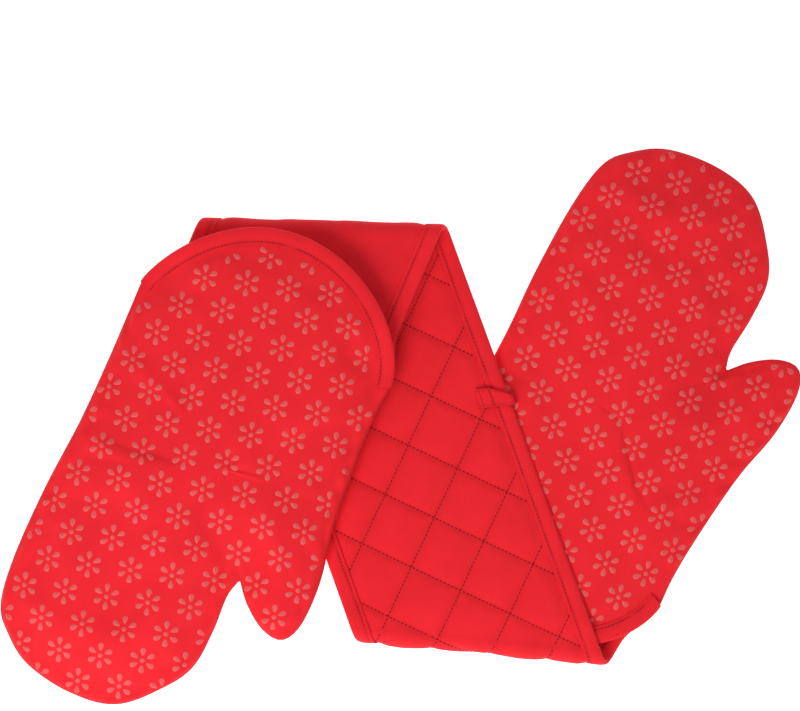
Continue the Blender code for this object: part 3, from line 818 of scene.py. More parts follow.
@dataclass(frozen=True)
class SiliconeFinish:
    """The raised print: a dark outline, a paler rim and a slightly darker middle."""

    name: str = "raised_silicone_print"
    outline: tuple[float, float, float] = (0.50, 0.022, 0.03)
    rim: tuple[float, float, float] = (0.74, 0.098, 0.094)
    middle: tuple[float, float, float] = (0.68, 0.074, 0.072)

    def make(self) -> bpy.types.Material:
        """The material: colour by the distance from a petal's edge, with a soft rubber gloss."""
        material = bpy.data.materials.new(self.name)
        material.use_nodes = True
        tree = material.node_tree
        shader = tree.nodes["Principled BSDF"]
        relief = tree.nodes.new("ShaderNodeAttribute")
        relief.attribute_name = SHADE_AND_PRINT_RAMP
        ramp = tree.nodes.new("ShaderNodeValToRGB")
        stops = ramp.color_ramp.elements
        stops[0].position = 0.04
        stops[0].color = (*self.outline, 1.0)
        stops[1].position = 0.3
        stops[1].color = (*self.rim, 1.0)
        stops.new(1.0).color = (*self.middle, 1.0)
        grain = tree.nodes.new("ShaderNodeTexNoise")
        grain.inputs["Scale"].default_value = 1400.0
        place = tree.nodes.new("ShaderNodeTexCoord")
        tree.links.new(place.outputs["Object"], grain.inputs["Vector"])
        bump = tree.nodes.new("ShaderNodeBump")
        bump.inputs["Strength"].default_value = 0.2
        bump.inputs["Distance"].default_value = 0.0002
        tree.links.new(grain.outputs[0], bump.inputs["Height"])
        tree.links.new(bump.outputs[0], shader.inputs["Normal"])
        tree.links.new(relief.outputs["Fac"], ramp.inputs["Fac"])
        tree.links.new(ramp.outputs["Color"], shader.inputs["Base Color"])
        shader.inputs["Roughness"].default_value = 0.6
        shader.inputs["Specular IOR Level"].default_value = 0.3
        return material


RED = (0.80, 0.0165, 0.026)
# the second colour is painted shade: a darker red mixed in along quilting grooves, side seams and stitch
# dents
PAINTED_GROOVE_SHADE = (0.36, 0.006, 0.012)


class Finishes:
    """All the materials of the double mitt."""

    def __init__(self) -> None:
        """Make the shared weave and each finish once."""
        weave = weave_group()
        self.quilted = CottonFinish("quilted_cotton", RED, PAINTED_GROOVE_SHADE, bump=0.35).make(weave)
        self.palm = CottonFinish("printed_palm_cotton", RED, PAINTED_GROOVE_SHADE, pitch=0.0005).make(weave)
        self.lining = CottonFinish("plain_cotton_lining", (0.76, 0.015, 0.025), PAINTED_GROOVE_SHADE).make(weave)
        self.tape = CottonFinish("binding_tape", (0.79, 0.016, 0.026), PAINTED_GROOVE_SHADE, pitch=0.0008).make(weave)
        self.thread = CottonFinish(
            "stitching_thread", (0.27, 0.004, 0.009), PAINTED_GROOVE_SHADE, pitch=0.0004, roughness=0.7).make(weave)
        self.wadding = CottonFinish(
            "cotton_wadding", (0.8, 0.77, 0.7), (0.7, 0.66, 0.6), pitch=0.003, roughness=0.95).make(weave)
        self.silicone = SiliconeFinish().make()


@dataclass(frozen=True)
class Cut:
    """The flat size that a cloth was cut to, in millimetres, and the share of that rectangle it fills."""

    width: float
    length: float
    share: float = 1.0


@dataclass
class Workshop:
    """What every sub-assembly needs: the folded pattern and the finishes."""

    pattern: FoldedPattern
    finishes: Finishes
    count: int = 0

    def finish_piece(self, piece: bpy.types.Object, finish: bpy.types.Material,
                     slot: str) -> bpy.types.Object:
        """Dress a piece in its finish and log it."""
        piece.data.materials.append(finish)
        self.count += 1
        LOG.info("piece %d: %s, %d points", self.count, piece.name, len(piece.data.vertices))
        return piece

    def blend(self, piece: bpy.types.Object) -> None:
        """Bake the transform of a piece that lies across a fold into its mesh."""
        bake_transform(piece)

    def attach(self, piece: bpy.types.Object, stretch: Stretch) -> None:
        """Let a piece of the strap move with its body, or bake the transform of a piece that lies across a
        fold.
        """
        if stretch is Stretch.TOP_FOLD:
            self.blend(piece)
        elif stretch is Stretch.BOTTOM_FOLD:
            self.blend(piece)
        else:
            bodies = {
                Stretch.MIDDLE: "strap",
                Stretch.UPPER_LEG: "left_mitt",
                Stretch.LOWER_LEG: "right_mitt",
            }
            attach(piece, bodies[stretch])


# ---------------------------------------------------------------- the strap


def tape_profile(count: int = 22) -> Array:
    """Inset and height of a folded tape's middle line round a bound edge.

    A flat upper flap, a half circle round the edge and a flat lower flap; the flaps swell a little
    between the edge and their stitching.
    """
    half = CLOTH.pressed / 2 + CLOTH.gap + CLOTH.tape / 2
    turn = np.linspace(0.0, math.pi, 9)
    bend = np.stack([half - (half + CLOTH.gap + 0.3) * np.sin(turn), half * np.cos(turn)], axis=1)
    flap = np.linspace(CLOTH.tape_width, half, (count - 9) // 2 + 1)[:-1]
    swell = 0.35 * np.sin(math.pi * np.clip(flap / 8.5, 0.0, 1.0))
    upper = np.stack([flap, half + swell], axis=1)
    lower = np.stack([flap[::-1], -half - 0.3 * swell[::-1]], axis=1)
    return np.concatenate([upper, bend, lower])


@dataclass
class Strap:
    """The quilted strap with both its folds and its two bound edges."""

    shop: Workshop
    spacing: float = 1.6
    puff: float = 1.0
    stitch_lift: float = 0.55

    def limits(self, stretch: Stretch, u: Array) -> tuple[Array, Array]:
        """v at the two ends of a stretch, for each u."""
        pattern = self.shop.pattern
        start = CLOTH.bend_start
        ends = {
            Stretch.TOP_FOLD: (pattern.top.reach(pattern.middle, u, -start),
                               pattern.top.reach(pattern.middle, u, start)),
            Stretch.MIDDLE: (pattern.top.reach(pattern.middle, u, start),
                             pattern.bottom.reach(pattern.middle, u, start)),
            Stretch.BOTTOM_FOLD: (pattern.bottom.reach(pattern.middle, u, start),
                                  pattern.bottom.reach(pattern.middle, u, -start)),
        }
        return ends[stretch]

    def outer(self, u: Array, v: Array) -> Array:
        """Height of the shell: the quilted pillows, pressed flat at the bound edges."""
        free = self.free(u)
        soft = 0.5 * ripple(u, v, 55.0, 11)
        return self.edge_height(Ply.SHELL) * (1 - free) + free * (
            CLOTH.panel - CLOTH.skin / 2 + self.puff * 0.4 + QUILT.relief(u, v) + soft)

    def free(self, u: Array) -> Array:
        """0 under the binding and 1 where the panel has its full thickness."""
        edge = self.shop.pattern.half_width - np.abs(u)
        return smooth((edge - CLOTH.tape_width + 2.0) / (CLOTH.taper + 4.0))

    def edge_height(self, ply: Ply) -> float:
        """Height of a cloth where the panel is pressed in its binding."""
        half = (CLOTH.pressed - CLOTH.skin) / 2
        return CLOTH.panel / 2 + {Ply.SHELL: half, Ply.WADDING: 0.0, Ply.LINING: -half}[ply]

    def height(self, ply: Ply, u: Array, v: Array) -> Array:
        """Height of a cloth's middle surface in the panel."""
        if ply is Ply.SHELL:
            return self.outer(u, v)
        free = self.free(u)
        loose = CLOTH.skin / 2 + QUILT.lining_relief(u, v)
        lining = self.edge_height(Ply.LINING) * (1 - free) + free * loose
        if ply is Ply.LINING:
            return lining
        return 0.42 * self.outer(u, v) + 0.58 * lining

    def build_ply(self, ply: Ply, stretch: Stretch) -> bpy.types.Object:
        """One cloth of one stretch, as a grid of rows between the stretch's ends."""
        pattern = self.shop.pattern
        half = pattern.half_width - (CLOTH.tape_width if ply is Ply.WADDING else 0.0)
        fold = stretch is not Stretch.MIDDLE
        step = self.spacing * (1.0 if ply is Ply.SHELL else 2.0)
        columns = np.linspace(-half, half, round(2 * half / step) + 1)
        rows = 19 if fold else round(pattern.length / step) + 1
        low, high = self.limits(stretch, columns)
        v = low + (high - low) * np.linspace(0.0, 1.0, rows)[:, None]
        u = np.broadcast_to(columns, v.shape)
        points = pattern.place(u, v, self.height(ply, u, v))
        # painted shade along the quilting lines, where the grooves dip
        shade = 0.16 * QUILT.groove(u, v) if ply is Ply.SHELL else None
        piece = make_mesh(f"{stretch.value}_{ply.value}", Surface.strip(points, np.stack([u, v], -1), shade))
        thicken(piece, CLOTH.filling if ply is Ply.WADDING else CLOTH.skin)
        finish, slot = {
            Ply.SHELL: (self.shop.finishes.quilted, "quilted_cotton"),
            Ply.WADDING: (self.shop.finishes.wadding, "cotton_wadding"),
            Ply.LINING: (self.shop.finishes.lining, "plain_cotton_lining"),
        }[ply]
        self.shop.finish_piece(piece, finish, slot)
        self.shop.attach(piece, stretch)
        if stretch is Stretch.MIDDLE:
            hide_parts(f"strap_{ply.value}")
        return piece

    def build_binding(self, stretch: Stretch, edge: str, side: float) -> bpy.types.Object:
        """The tape over one edge of one stretch."""
        pattern = self.shop.pattern
        profile = tape_profile()
        columns = side * (pattern.half_width - profile[:, 0])
        low, high = self.limits(stretch, columns)
        rows = 19 if stretch is not Stretch.MIDDLE else 120
        v = low + (high - low) * np.linspace(0.0, 1.0, rows)[:, None]
        u = np.broadcast_to(columns, v.shape)
        wave = 0.22 * ripple(v, u * 0.0, 16.0, 23) * np.clip(profile[:, 0] / 6.0, 0.0, 1.0)
        height = CLOTH.panel / 2 + profile[:, 1] + wave
        points = pattern.place(u, v, height)
        # painted shade in the dent along the row of topstitching
        shade = np.exp(-(((profile[:, 0] - CLOTH.topstitch) / 0.9) ** 2)) * 0.5
        shade = np.broadcast_to(shade, v.shape)
        piece = make_mesh(f"{stretch.value}_binding_{edge}_side",
                          Surface.strip(points, np.stack([u, v], -1), shade))
        thicken(piece, CLOTH.tape)
        self.shop.finish_piece(piece, self.shop.finishes.tape, "binding_tape")
        self.shop.attach(piece, stretch)
        if stretch is Stretch.MIDDLE:
            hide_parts(f"strap_binding_{edge}_side")
        return piece

    def build_stitching(self, stretch: Stretch) -> bpy.types.Object:
        """Quilting stitches and the rows of topstitching beside both edges."""
        pattern = self.shop.pattern
        half = pattern.half_width - CLOTH.tape_width - 0.5
        flat, runs = QUILT.stitches(-pattern.length, pattern.length, half)
        low, high = self.limits(stretch, flat[:, 0])
        kept = (flat[:, 1] > low + 1.0) & (flat[:, 1] < high - 1.0)
        quilt = stitches_on(lambda u, v: pattern.place(u, v, self.outer(u, v) + self.stitch_lift),
                            flat[kept], runs[kept], 2.1, 0.42)
        parts = [quilt]
        top = CLOTH.panel / 2 + CLOTH.pressed / 2 + CLOTH.gap + CLOTH.tape
        for side in (-1.0, 1.0):
            u = side * (pattern.half_width - CLOTH.topstitch)
            ends = self.limits(stretch, np.array([u]))
            v = np.arange(float(ends[0][0]) + 1.5, float(ends[1][0]) - 1.0, CLOTH.stitch_spacing)
            row = np.stack([np.full_like(v, u), v], axis=1)
            course = np.broadcast_to(np.array([0.0, 1.0]), row.shape)
            parts.append(stitches_on(
                lambda a, b: pattern.place(a, b, top + 0.05 + 0.0 * a),
                row, course, CLOTH.stitch_length, CLOTH.stitch_round))
        piece = make_mesh(f"{stretch.value}_stitching", joined(parts))
        self.shop.finish_piece(piece, self.shop.finishes.thread, "binding_tape")
        self.shop.attach(piece, stretch)
        return piece

    def build(self) -> None:
        """Every cloth, binding and row of stitches of the strap."""
        for stretch in (Stretch.TOP_FOLD, Stretch.MIDDLE, Stretch.BOTTOM_FOLD):
            for ply in Ply:
                self.build_ply(ply, stretch)
            for edge, side in (("far", -1.0), ("thumb", 1.0)):
                self.build_binding(stretch, edge, side)
            self.build_stitching(stretch)


def joined(parts: Sequence[Surface]) -> Surface:
    """Several surfaces as one, with their point numbers moved along."""
    start = np.cumsum([0] + [len(part.points) for part in parts[:-1]])
    return Surface(
        np.concatenate([part.points for part in parts]),
        np.concatenate([part.quads + first for part, first in zip(parts, start)]),
        np.concatenate([part.triangles + first for part, first in zip(parts, start)]),
        np.concatenate([part.flat for part in parts]),
        np.concatenate([part.relief for part in parts]),
    )


# ---------------------------------------------------------------- a mitt


@dataclass
class Mitt:
    """One mitt: its palm, its back with its leg of the strap, its cuff binding and its print."""

    shop: Workshop
    hand: Hand
    strap: Strap
    step: float = 4.2
    rings: int = 26
    crowd: float = 1.45
    swell: float = 3.0
    sag: float = 0.4

    def __post_init__(self) -> None:
        """Work out the outlines once."""
        self.seam = MITT.side_seam(self.step)
        self.arch = MITT.arch(self.step)
        self.outline = np.concatenate([self.seam, self.arch[1:-1]])
        self.pattern = self.shop.pattern

    @property
    def side(self) -> str:
        """The name that starts this mitt's nodes."""
        return self.hand.value

    @property
    def body(self) -> str:
        """The body that the mitt belongs to."""
        return f"{self.hand.value}_mitt"

    def polar(self, rim: Array) -> tuple[Array, Array]:
        """Rings from a rim to the heart of the hand, closer together near the rim."""
        share = np.linspace(0.0, 1.0, self.rings + 1)[:-1] ** self.crowd
        heart = np.array(MITT.heart)
        grid = rim[None] + (heart - rim)[None] * share[:, None, None]
        return grid[..., 0], grid[..., 1]

    def polar_faces(self, rings: int, count: int) -> tuple[Array, Array]:
        """Quads between the rings and a fan of triangles to the heart, which is the last point."""
        index = np.arange(rings * count).reshape(rings, count)
        index = np.concatenate([index, index[:, :1]], axis=1)
        last = index[-1]
        fan = np.stack([last[:-1], np.full(count, rings * count), last[1:]], axis=1)
        return quads_of(index), fan

    def palm_height(self, u: Array, v: Array) -> Array:
        """Height of the palm's shell: rounded down to the side seam, pressed under the cuff binding."""
        side = distance_to(self.seam, u, v)
        cuff = distance_to(self.arch, u, v)
        low = CLOTH.skin / 2 - CLOTH.gap / 2
        pucker = 1.0 + 0.5 * ripple(u, v, 13.0, 31 + len(self.side)) * smooth(1.0 - side / 16.0)
        round_down = dome(side / CLOTH.seam_round)
        pressed = CLOTH.panel / 2 + (CLOTH.pressed - CLOTH.skin) / 2
        free = smooth((cuff - CLOTH.tape_width + 1.5) / (CLOTH.taper + 6.0))
        soft = 0.7 * ripple(u, v, 48.0, 41 + len(self.side)) * smooth(side / 30.0) * smooth(cuff / 30.0)
        full = CLOTH.panel - CLOTH.skin / 2 + soft
        return (low + (full - low) * round_down) * pucker * free + (1 - free) * (
            low + (pressed - low) * round_down)

    def palm_surface(self, rim: Array, height: Height) -> Surface:
        """A cloth of the palm over the polar grid."""
        u, v = self.polar(rim)
        heart = np.array(MITT.heart)
        u, v = np.append(u, heart[0]), np.append(v, heart[1])
        points = self.pattern.place_palm(self.hand, u, v, height(u, v))
        quads, fan = self.polar_faces(self.rings, len(rim))
        # painted shade along the side seam, where the palm turns down into its crease
        shade = 0.4 * np.exp(-((distance_to(self.seam, u, v) / 1.2) ** 2))
        return Surface(points, quads, fan, np.stack([u, v], -1), shade)

    def puffed(self, piece: bpy.types.Object) -> None:
        """Swell the palm by cloth simulation, with its seam and cuff held, and cap the movement."""
        mesh = piece.data
        count = len(mesh.vertices)
        rest = np.zeros(count * 3, np.float32)
        mesh.vertices.foreach_get("co", rest)
        rest = rest.reshape(-1, 3).astype(float)
        held = piece.vertex_groups.new(name="sewn")
        rim = len(self.outline)
        held.add(list(range(rim * 4)), 1.0, "REPLACE")
        cloth = piece.modifiers.new("puff", "CLOTH")
        cloth.settings.quality = 5
        cloth.settings.mass = 0.15
        cloth.settings.tension_stiffness = 12.0
        cloth.settings.compression_stiffness = 6.0
        cloth.settings.shear_stiffness = 4.0
        cloth.settings.bending_stiffness = 0.6
        cloth.settings.use_pressure = True
        upwards = 1.0 if mesh.polygons[0].normal.z > 0.0 else -1.0
        cloth.settings.uniform_pressure_force = 2.5 * upwards
        cloth.settings.vertex_group_mass = "sewn"
        cloth.settings.shrink_min = -0.035
        cloth.settings.effector_weights.gravity = 0.0
        cloth.collision_settings.use_collision = False
        for number in range(1, 21):
            bpy.context.scene.frame_set(number)
        graph = bpy.context.evaluated_depsgraph_get()
        moved = np.zeros(count * 3, np.float32)
        piece.evaluated_get(graph).data.vertices.foreach_get("co", moved)
        piece.modifiers.remove(cloth)
        piece.vertex_groups.remove(held)
        bpy.context.scene.frame_set(1)
        shift = moved.reshape(-1, 3).astype(float) - rest
        length = np.linalg.norm(shift, axis=1, keepdims=True)
        cap = self.swell * MM
        shift *= cap * np.tanh(length / cap) / np.maximum(length, 1e-9)
        shift[:, 2] = np.maximum(shift[:, 2], -self.sag * MM)
        u, v = self.palm_flat
        ease = smooth(distance_to(self.outline_closed, u, v) / 26.0)[:, None]
        mesh.vertices.foreach_set("co", (rest + shift * ease).astype(np.float32).reshape(-1))
        LOG.info("palm of the %s mitt puffed: largest movement %.1f mm, mean rise %.2f mm",
                 self.side, length.max() / MM, shift[:, 2].mean() / MM)

    def build_palm(self) -> bpy.types.Object:
        """Shell, wadding and lining of the palm."""
        finishes = self.shop.finishes
        u, v = self.polar(self.outline)
        self.palm_flat = (np.append(u, MITT.heart[0]), np.append(v, MITT.heart[1]))
        self.outline_closed = np.concatenate([self.outline, self.outline[:1]])
        shell = make_mesh(f"{self.side}_palm_shell", self.palm_surface(self.outline, self.palm_height))
        self.puffed(shell)
        refine(shell, 1)
        thicken(shell, CLOTH.skin)
        self.shop.finish_piece(shell, finishes.palm, "printed_palm_cotton")
        rim = self.outline + inward(self.outline) * CLOTH.seam_inset
        wadding = make_mesh(f"{self.side}_palm_wadding", self.palm_surface(
            self.outline + inward(self.outline) * (CLOTH.tape_width + 1.0), self.flat_height(2.2)))
        thicken(wadding, CLOTH.filling)
        self.shop.finish_piece(wadding, finishes.wadding, "cotton_wadding")
        lining = make_mesh(f"{self.side}_palm_lining", self.palm_surface(rim, self.lining_height))
        thicken(lining, CLOTH.skin)
        self.shop.finish_piece(lining, finishes.lining, "plain_cotton_lining")
        for piece, ply in ((shell, Ply.SHELL), (wadding, Ply.WADDING), (lining, Ply.LINING)):
            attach(piece, self.body)
            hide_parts(f"{self.side}_palm_{ply.value}")
        return shell

    def flat_height(self, value: float) -> Height:
        """A height that is the same everywhere."""
        return lambda u, v: np.full(np.shape(u), value)

    def lining_height(self, u: Array, v: Array) -> Array:
        """Height of the palm's lining: it rises to the pressed edge under the cuff binding."""
        cuff = distance_to(self.arch, u, v)
        free = smooth((cuff - CLOTH.tape_width + 2.0) / CLOTH.taper)
        return CLOTH.skin / 2 * free + (CLOTH.panel / 2 - (CLOTH.pressed - CLOTH.skin) / 2) * (1 - free)

    def build_cuff(self) -> bpy.types.Object:
        """The tape over the palm's arched cuff edge, with its topstitching."""
        profile = tape_profile()
        start = len(self.seam) - 1
        order = list(range(start, len(self.outline))) + [0]
        fine = respace(self.outline[order], 2.2)
        run = unit(np.gradient(fine, axis=0))
        normal = np.stack([-run[:, 1], run[:, 0]], axis=1)
        heart = np.array(MITT.heart) - fine
        normal *= np.sign((normal * heart).sum(-1))[:, None]
        blunt = min(6, len(fine) // 8)
        normal[:blunt], normal[-blunt:] = normal[blunt], normal[-blunt - 1]
        uv = fine[:, None] + profile[None, :, :1] * normal[:, None]
        along = np.linspace(0.0, 1.0, len(fine))[:, None] * 240.0
        wave = 0.3 * ripple(along, 0.0 * along, 17.0, 53 + len(self.side))
        wave = wave * np.clip(profile[:, 0] / 6.0, 0, 1)
        height = CLOTH.panel / 2 + profile[:, 1] + wave
        points = self.pattern.place_palm(self.hand, uv[..., 0], uv[..., 1], height)
        # painted shade in the dent along the row of topstitching
        shade = np.exp(-(((profile[:, 0] - CLOTH.cuff_topstitch) / 0.9) ** 2)) * 0.5
        shade = np.broadcast_to(shade, height.shape)
        tape = make_mesh(f"{self.side}_cuff_binding", Surface.strip(points, uv, shade))
        thicken(tape, CLOTH.tape)
        self.shop.finish_piece(tape, self.shop.finishes.tape, "binding_tape")
        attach(tape, self.body)
        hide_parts(f"{self.side}_cuff_binding")
        self.build_cuff_stitches(fine, normal)
        return tape

    def build_cuff_stitches(self, fine: Array, normal: Array) -> None:
        """One row of stitches near the inner edge of the cuff binding."""
        path = respace(fine + normal * CLOTH.cuff_topstitch, CLOTH.stitch_spacing)[1:-1]
        runs = unit(np.gradient(path, axis=0))
        top = CLOTH.panel / 2 + CLOTH.pressed / 2 + CLOTH.gap + CLOTH.tape + 0.1
        surface = stitches_on(
            lambda u, v: self.pattern.place_palm(self.hand, u, v, np.full(np.shape(u), top)),
            path, runs, CLOTH.stitch_length, CLOTH.stitch_round)
        piece = make_mesh(f"{self.side}_cuff_stitching", surface)
        self.shop.finish_piece(piece, self.shop.finishes.thread, "binding_tape")
        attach(piece, self.body)

    # the back and its leg of the strap

    def leg_edges(self, v: Array) -> tuple[Array, Array]:
        """Far and thumb-side edges of the leg, flaring out to the cuff corners."""
        ease = smooth((v - MITT.cuff) / MITT.flare)
        far_corner, near_corner = MITT.hand_side[0][0], MITT.thumb_side[-1][0]
        half, offset = self.pattern.half_width, self.pattern.offset
        return (far_corner + (offset - half - far_corner) * ease,
                near_corner + (offset + half - near_corner) * ease)

    def leg_end(self, u: Array) -> Array:
        """v in the mitt's frame at which the leg meets the bend."""
        fold = self.pattern.folds[self.hand]
        return fold.reach(self.pattern.plans[self.hand], u, CLOTH.bend_start)

    def leg_grid(self, share: Array, rows: int) -> tuple[Array, Array]:
        """Flat grid of the leg from the cuff line to the bend; share runs 0 to 1 across it."""
        half, offset = self.pattern.half_width, self.pattern.offset
        end = self.leg_end(offset - half + 2 * half * share)
        v = MITT.cuff + (end - MITT.cuff) * np.linspace(0.0, 1.0, rows)[:, None]
        far, near = self.leg_edges(v)
        return far + (near - far) * share, v

    def closed_seam(self) -> Array:
        """The side seam, closed by a straight run across the cuff."""
        cuff = [[MITT.chord_half, MITT.cuff], [-MITT.chord_half, MITT.cuff]]
        return np.concatenate([self.seam, np.array(cuff)])

    def back_height(self, ply: Ply) -> Height:
        """Height of a cloth of the back, from the lining's side."""
        def height(u: Array, v: Array) -> Array:
            """Height at each u and v: pressed at bound edges, full elsewhere, down to the side seam."""
            side = distance_to(self.seam, u, v)
            far, near = self.leg_edges(v)
            edge = np.minimum(u - far, near - u)
            bound = smooth((v - MITT.cuff + MITT.bound_ease) / MITT.bound_ease)
            free = 1.0 - (1.0 - smooth((edge - CLOTH.tape_width + 2.0) / (CLOTH.taper + 4.0))) * bound
            pressed = self.strap.edge_height(ply)
            a, b = self.pattern.to_pattern(self.hand, u, v)
            if ply is Ply.SHELL:
                top = CLOTH.panel - CLOTH.skin / 2
                dent = np.minimum(QUILT.relief(a, b), 0.25) - 0.25
                ease = smooth((v - MITT.cuff - MITT.join_start) / MITT.join_length)
                join = self.strap.outer(np.clip(a, -MITT.join_half, MITT.join_half), b)
                full = (top + dent) * (1 - ease) + join * ease
                seam = -CLOTH.gap / 2 - CLOTH.skin / 2
                hand = (seam + (full - seam) * dome(side / CLOTH.seam_round))
                in_hand = smooth((MITT.cuff + MITT.hand_ease - v) / MITT.hand_ease)
                full = hand * in_hand + full * (1 - in_hand)
                return pressed * (1 - free) + full * free
            full = CLOTH.skin / 2 + QUILT.lining_relief(a, b)
            if ply is Ply.WADDING:
                full = full + MITT.wadding_share * (self.back_height(Ply.SHELL)(u, v) - full)
            return pressed * (1 - free) + full * free
        return height

    def back_surface(self, ply: Ply) -> Surface:
        """A cloth of the back: the hand in rings and the leg in rows that start at its cuff line."""
        inset = {Ply.SHELL: 0.0, Ply.WADDING: CLOTH.tape_width, Ply.LINING: CLOTH.seam_inset}[ply]
        columns = 33 if ply is Ply.LINING else 61
        margin = inset / (MITT.thumb_side[-1][0] - MITT.hand_side[0][0])
        if ply is Ply.LINING:
            margin = 0.0
        share = np.linspace(margin, 1.0 - margin, columns)
        rows = 20 if ply is Ply.LINING else 38
        leg_u, leg_v = self.leg_grid(share, rows)
        chord = np.stack([leg_u[0], leg_v[0]], axis=1)
        base = self.closed_seam()
        ring = self.seam + inward(base)[: len(self.seam)] * inset
        if inset:
            ring = ring[ring[:, 1] < MITT.cuff - 1.0]
        else:
            ring = ring[1:-1]
        rim = np.concatenate([ring, chord[::-1]])
        u, v = self.polar(rim)
        heart = np.array(MITT.heart)
        count = len(rim)
        quads, fan = self.polar_faces(self.rings, count)
        hand_points = self.rings * count + 1
        first = np.arange(count - 1, len(ring) - 1, -1)
        rest = hand_points + np.arange((rows - 1) * columns).reshape(rows - 1, columns)
        index = np.concatenate([first[None], rest])
        all_u = np.concatenate([u.reshape(-1), heart[:1], leg_u[1:].reshape(-1)])
        all_v = np.concatenate([v.reshape(-1), heart[1:], leg_v[1:].reshape(-1)])
        height = self.back_height(ply)(all_u, all_v)
        a, b = self.pattern.to_pattern(self.hand, all_u, all_v)
        points = self.pattern.place(a, b, height)
        # painted shade along the quilting lines, where the grooves dip
        shade = 0.16 * QUILT.groove(a, b) if ply is Ply.SHELL else np.zeros_like(a)
        return Surface(points, np.concatenate([quads, quads_of(index)]), fan, np.stack([a, b], -1), shade)

    def build_back(self) -> None:
        """Shell, wadding and lining of the back, the bindings of its leg, and its stitches."""
        finishes = self.shop.finishes
        for ply, finish, slot, thickness in (
            (Ply.SHELL, finishes.quilted, "quilted_cotton", CLOTH.skin),
            (Ply.WADDING, finishes.wadding, "cotton_wadding", CLOTH.filling),
            (Ply.LINING, finishes.lining, "plain_cotton_lining", CLOTH.skin),
        ):
            piece = make_mesh(f"{self.side}_back_{ply.value}", self.back_surface(ply))
            thicken(piece, thickness)
            self.shop.finish_piece(piece, finish, slot)
            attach(piece, self.body)
            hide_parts(f"{self.side}_back_{ply.value}")
        for edge, far in (("far", True), ("thumb", False)):
            self.build_leg_binding(edge, far)
        self.build_back_stitches()

    def build_leg_binding(self, edge: str, far: bool) -> None:
        """The tape over one edge of the leg, from the cuff corner to the bend."""
        profile = tape_profile()
        half, offset = self.pattern.half_width, self.pattern.offset
        at_bend = offset - half + profile[:, 0] if far else offset + half - profile[:, 0]
        end = self.leg_end(at_bend)
        start = MITT.cuff + 3.0
        v = start + (end - start) * np.linspace(0.0, 1.0, 44)[:, None]
        edges = self.leg_edges(v)
        u = edges[0] + profile[:, 0] if far else edges[1] - profile[:, 0]
        a, b = self.pattern.to_pattern(self.hand, u, v)
        wave = 0.2 * ripple(v, 0.0 * u, 16.0, 61) * np.clip(profile[:, 0] / 6.0, 0.0, 1.0)
        points = self.pattern.place(a, b, CLOTH.panel / 2 + profile[:, 1] + wave)
        # painted shade in the dent along the row of topstitching
        shade = np.exp(-(((profile[:, 0] - CLOTH.topstitch) / 0.9) ** 2)) * 0.5
        shade = np.broadcast_to(shade, v.shape[:1] + (len(profile),))
        surface = Surface.strip(points, np.stack([u, v], -1), shade)
        piece = make_mesh(f"{self.side}_leg_binding_{edge}_side", surface)
        thicken(piece, CLOTH.tape)
        self.shop.finish_piece(piece, self.shop.finishes.tape, "binding_tape")
        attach(piece, self.body)
        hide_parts(f"{self.side}_leg_binding_{edge}_side")

    def build_back_stitches(self) -> None:
        """Quilting stitches over the back and its leg, and topstitching beside the leg's edges."""
        sign, pattern = self.pattern.sign[self.hand], self.pattern
        far_end = pattern.length / 2 + pattern.legs[self.hand] + 300.0
        ends = (pattern.length / 2 - 40.0, far_end) if sign > 0 else (-far_end, -pattern.length / 2 + 40.0)
        flat, runs = QUILT.stitches(ends[0], ends[1], 110.0)
        u = flat[:, 0] + pattern.offset
        v = pattern.length / 2 + pattern.legs[self.hand] - sign * flat[:, 1]
        side = distance_to(self.seam, u, v)
        base = self.closed_seam()
        hand = inside(base, u, v) & (side > 7.0)
        far, near = self.leg_edges(v)
        room = CLOTH.tape_width + 0.5
        leg = (v >= MITT.cuff) & (u > far + room) & (u < near - room) & (v < self.leg_end(u) - 1.0)
        kept = (hand & (v < MITT.cuff)) | leg
        height = self.back_height(Ply.SHELL)

        def place(a: Array, b: Array) -> Array:
            """Points of the back's outer cloth for two pattern coordinates."""
            mitt_u = a + pattern.offset
            mitt_v = pattern.length / 2 + pattern.legs[self.hand] - sign * b
            return pattern.place(a, b, height(mitt_u, mitt_v) + 0.3)

        parts = [stitches_on(place, flat[kept], runs[kept], 2.1, 0.33)]
        for face in (1.0, -1.0):
            for far_side in (True, False):
                last = float(self.leg_end(np.array(MITT.far_row if far_side else MITT.near_row)))
                rows = np.arange(MITT.cuff + 5.0, last - 1.0, CLOTH.stitch_spacing)
                edges = self.leg_edges(rows)
                row_u = edges[0] + CLOTH.topstitch if far_side else edges[1] - CLOTH.topstitch
                a, b = pattern.to_pattern(self.hand, row_u, rows)
                top = CLOTH.panel / 2 + face * (CLOTH.pressed / 2 + CLOTH.gap + CLOTH.tape + 0.05)
                course = unit(np.gradient(np.stack([a, b], -1), axis=0))
                parts.append(stitches_on(lambda p, q: pattern.place(p, q, np.full(np.shape(p), top)),
                                         np.stack([a, b], -1), course,
                                         CLOTH.stitch_length, CLOTH.stitch_round))
        piece = make_mesh(f"{self.side}_back_stitching", joined(parts))
        self.shop.finish_piece(piece, self.shop.finishes.thread, "binding_tape")
        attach(piece, self.body)

    # the print

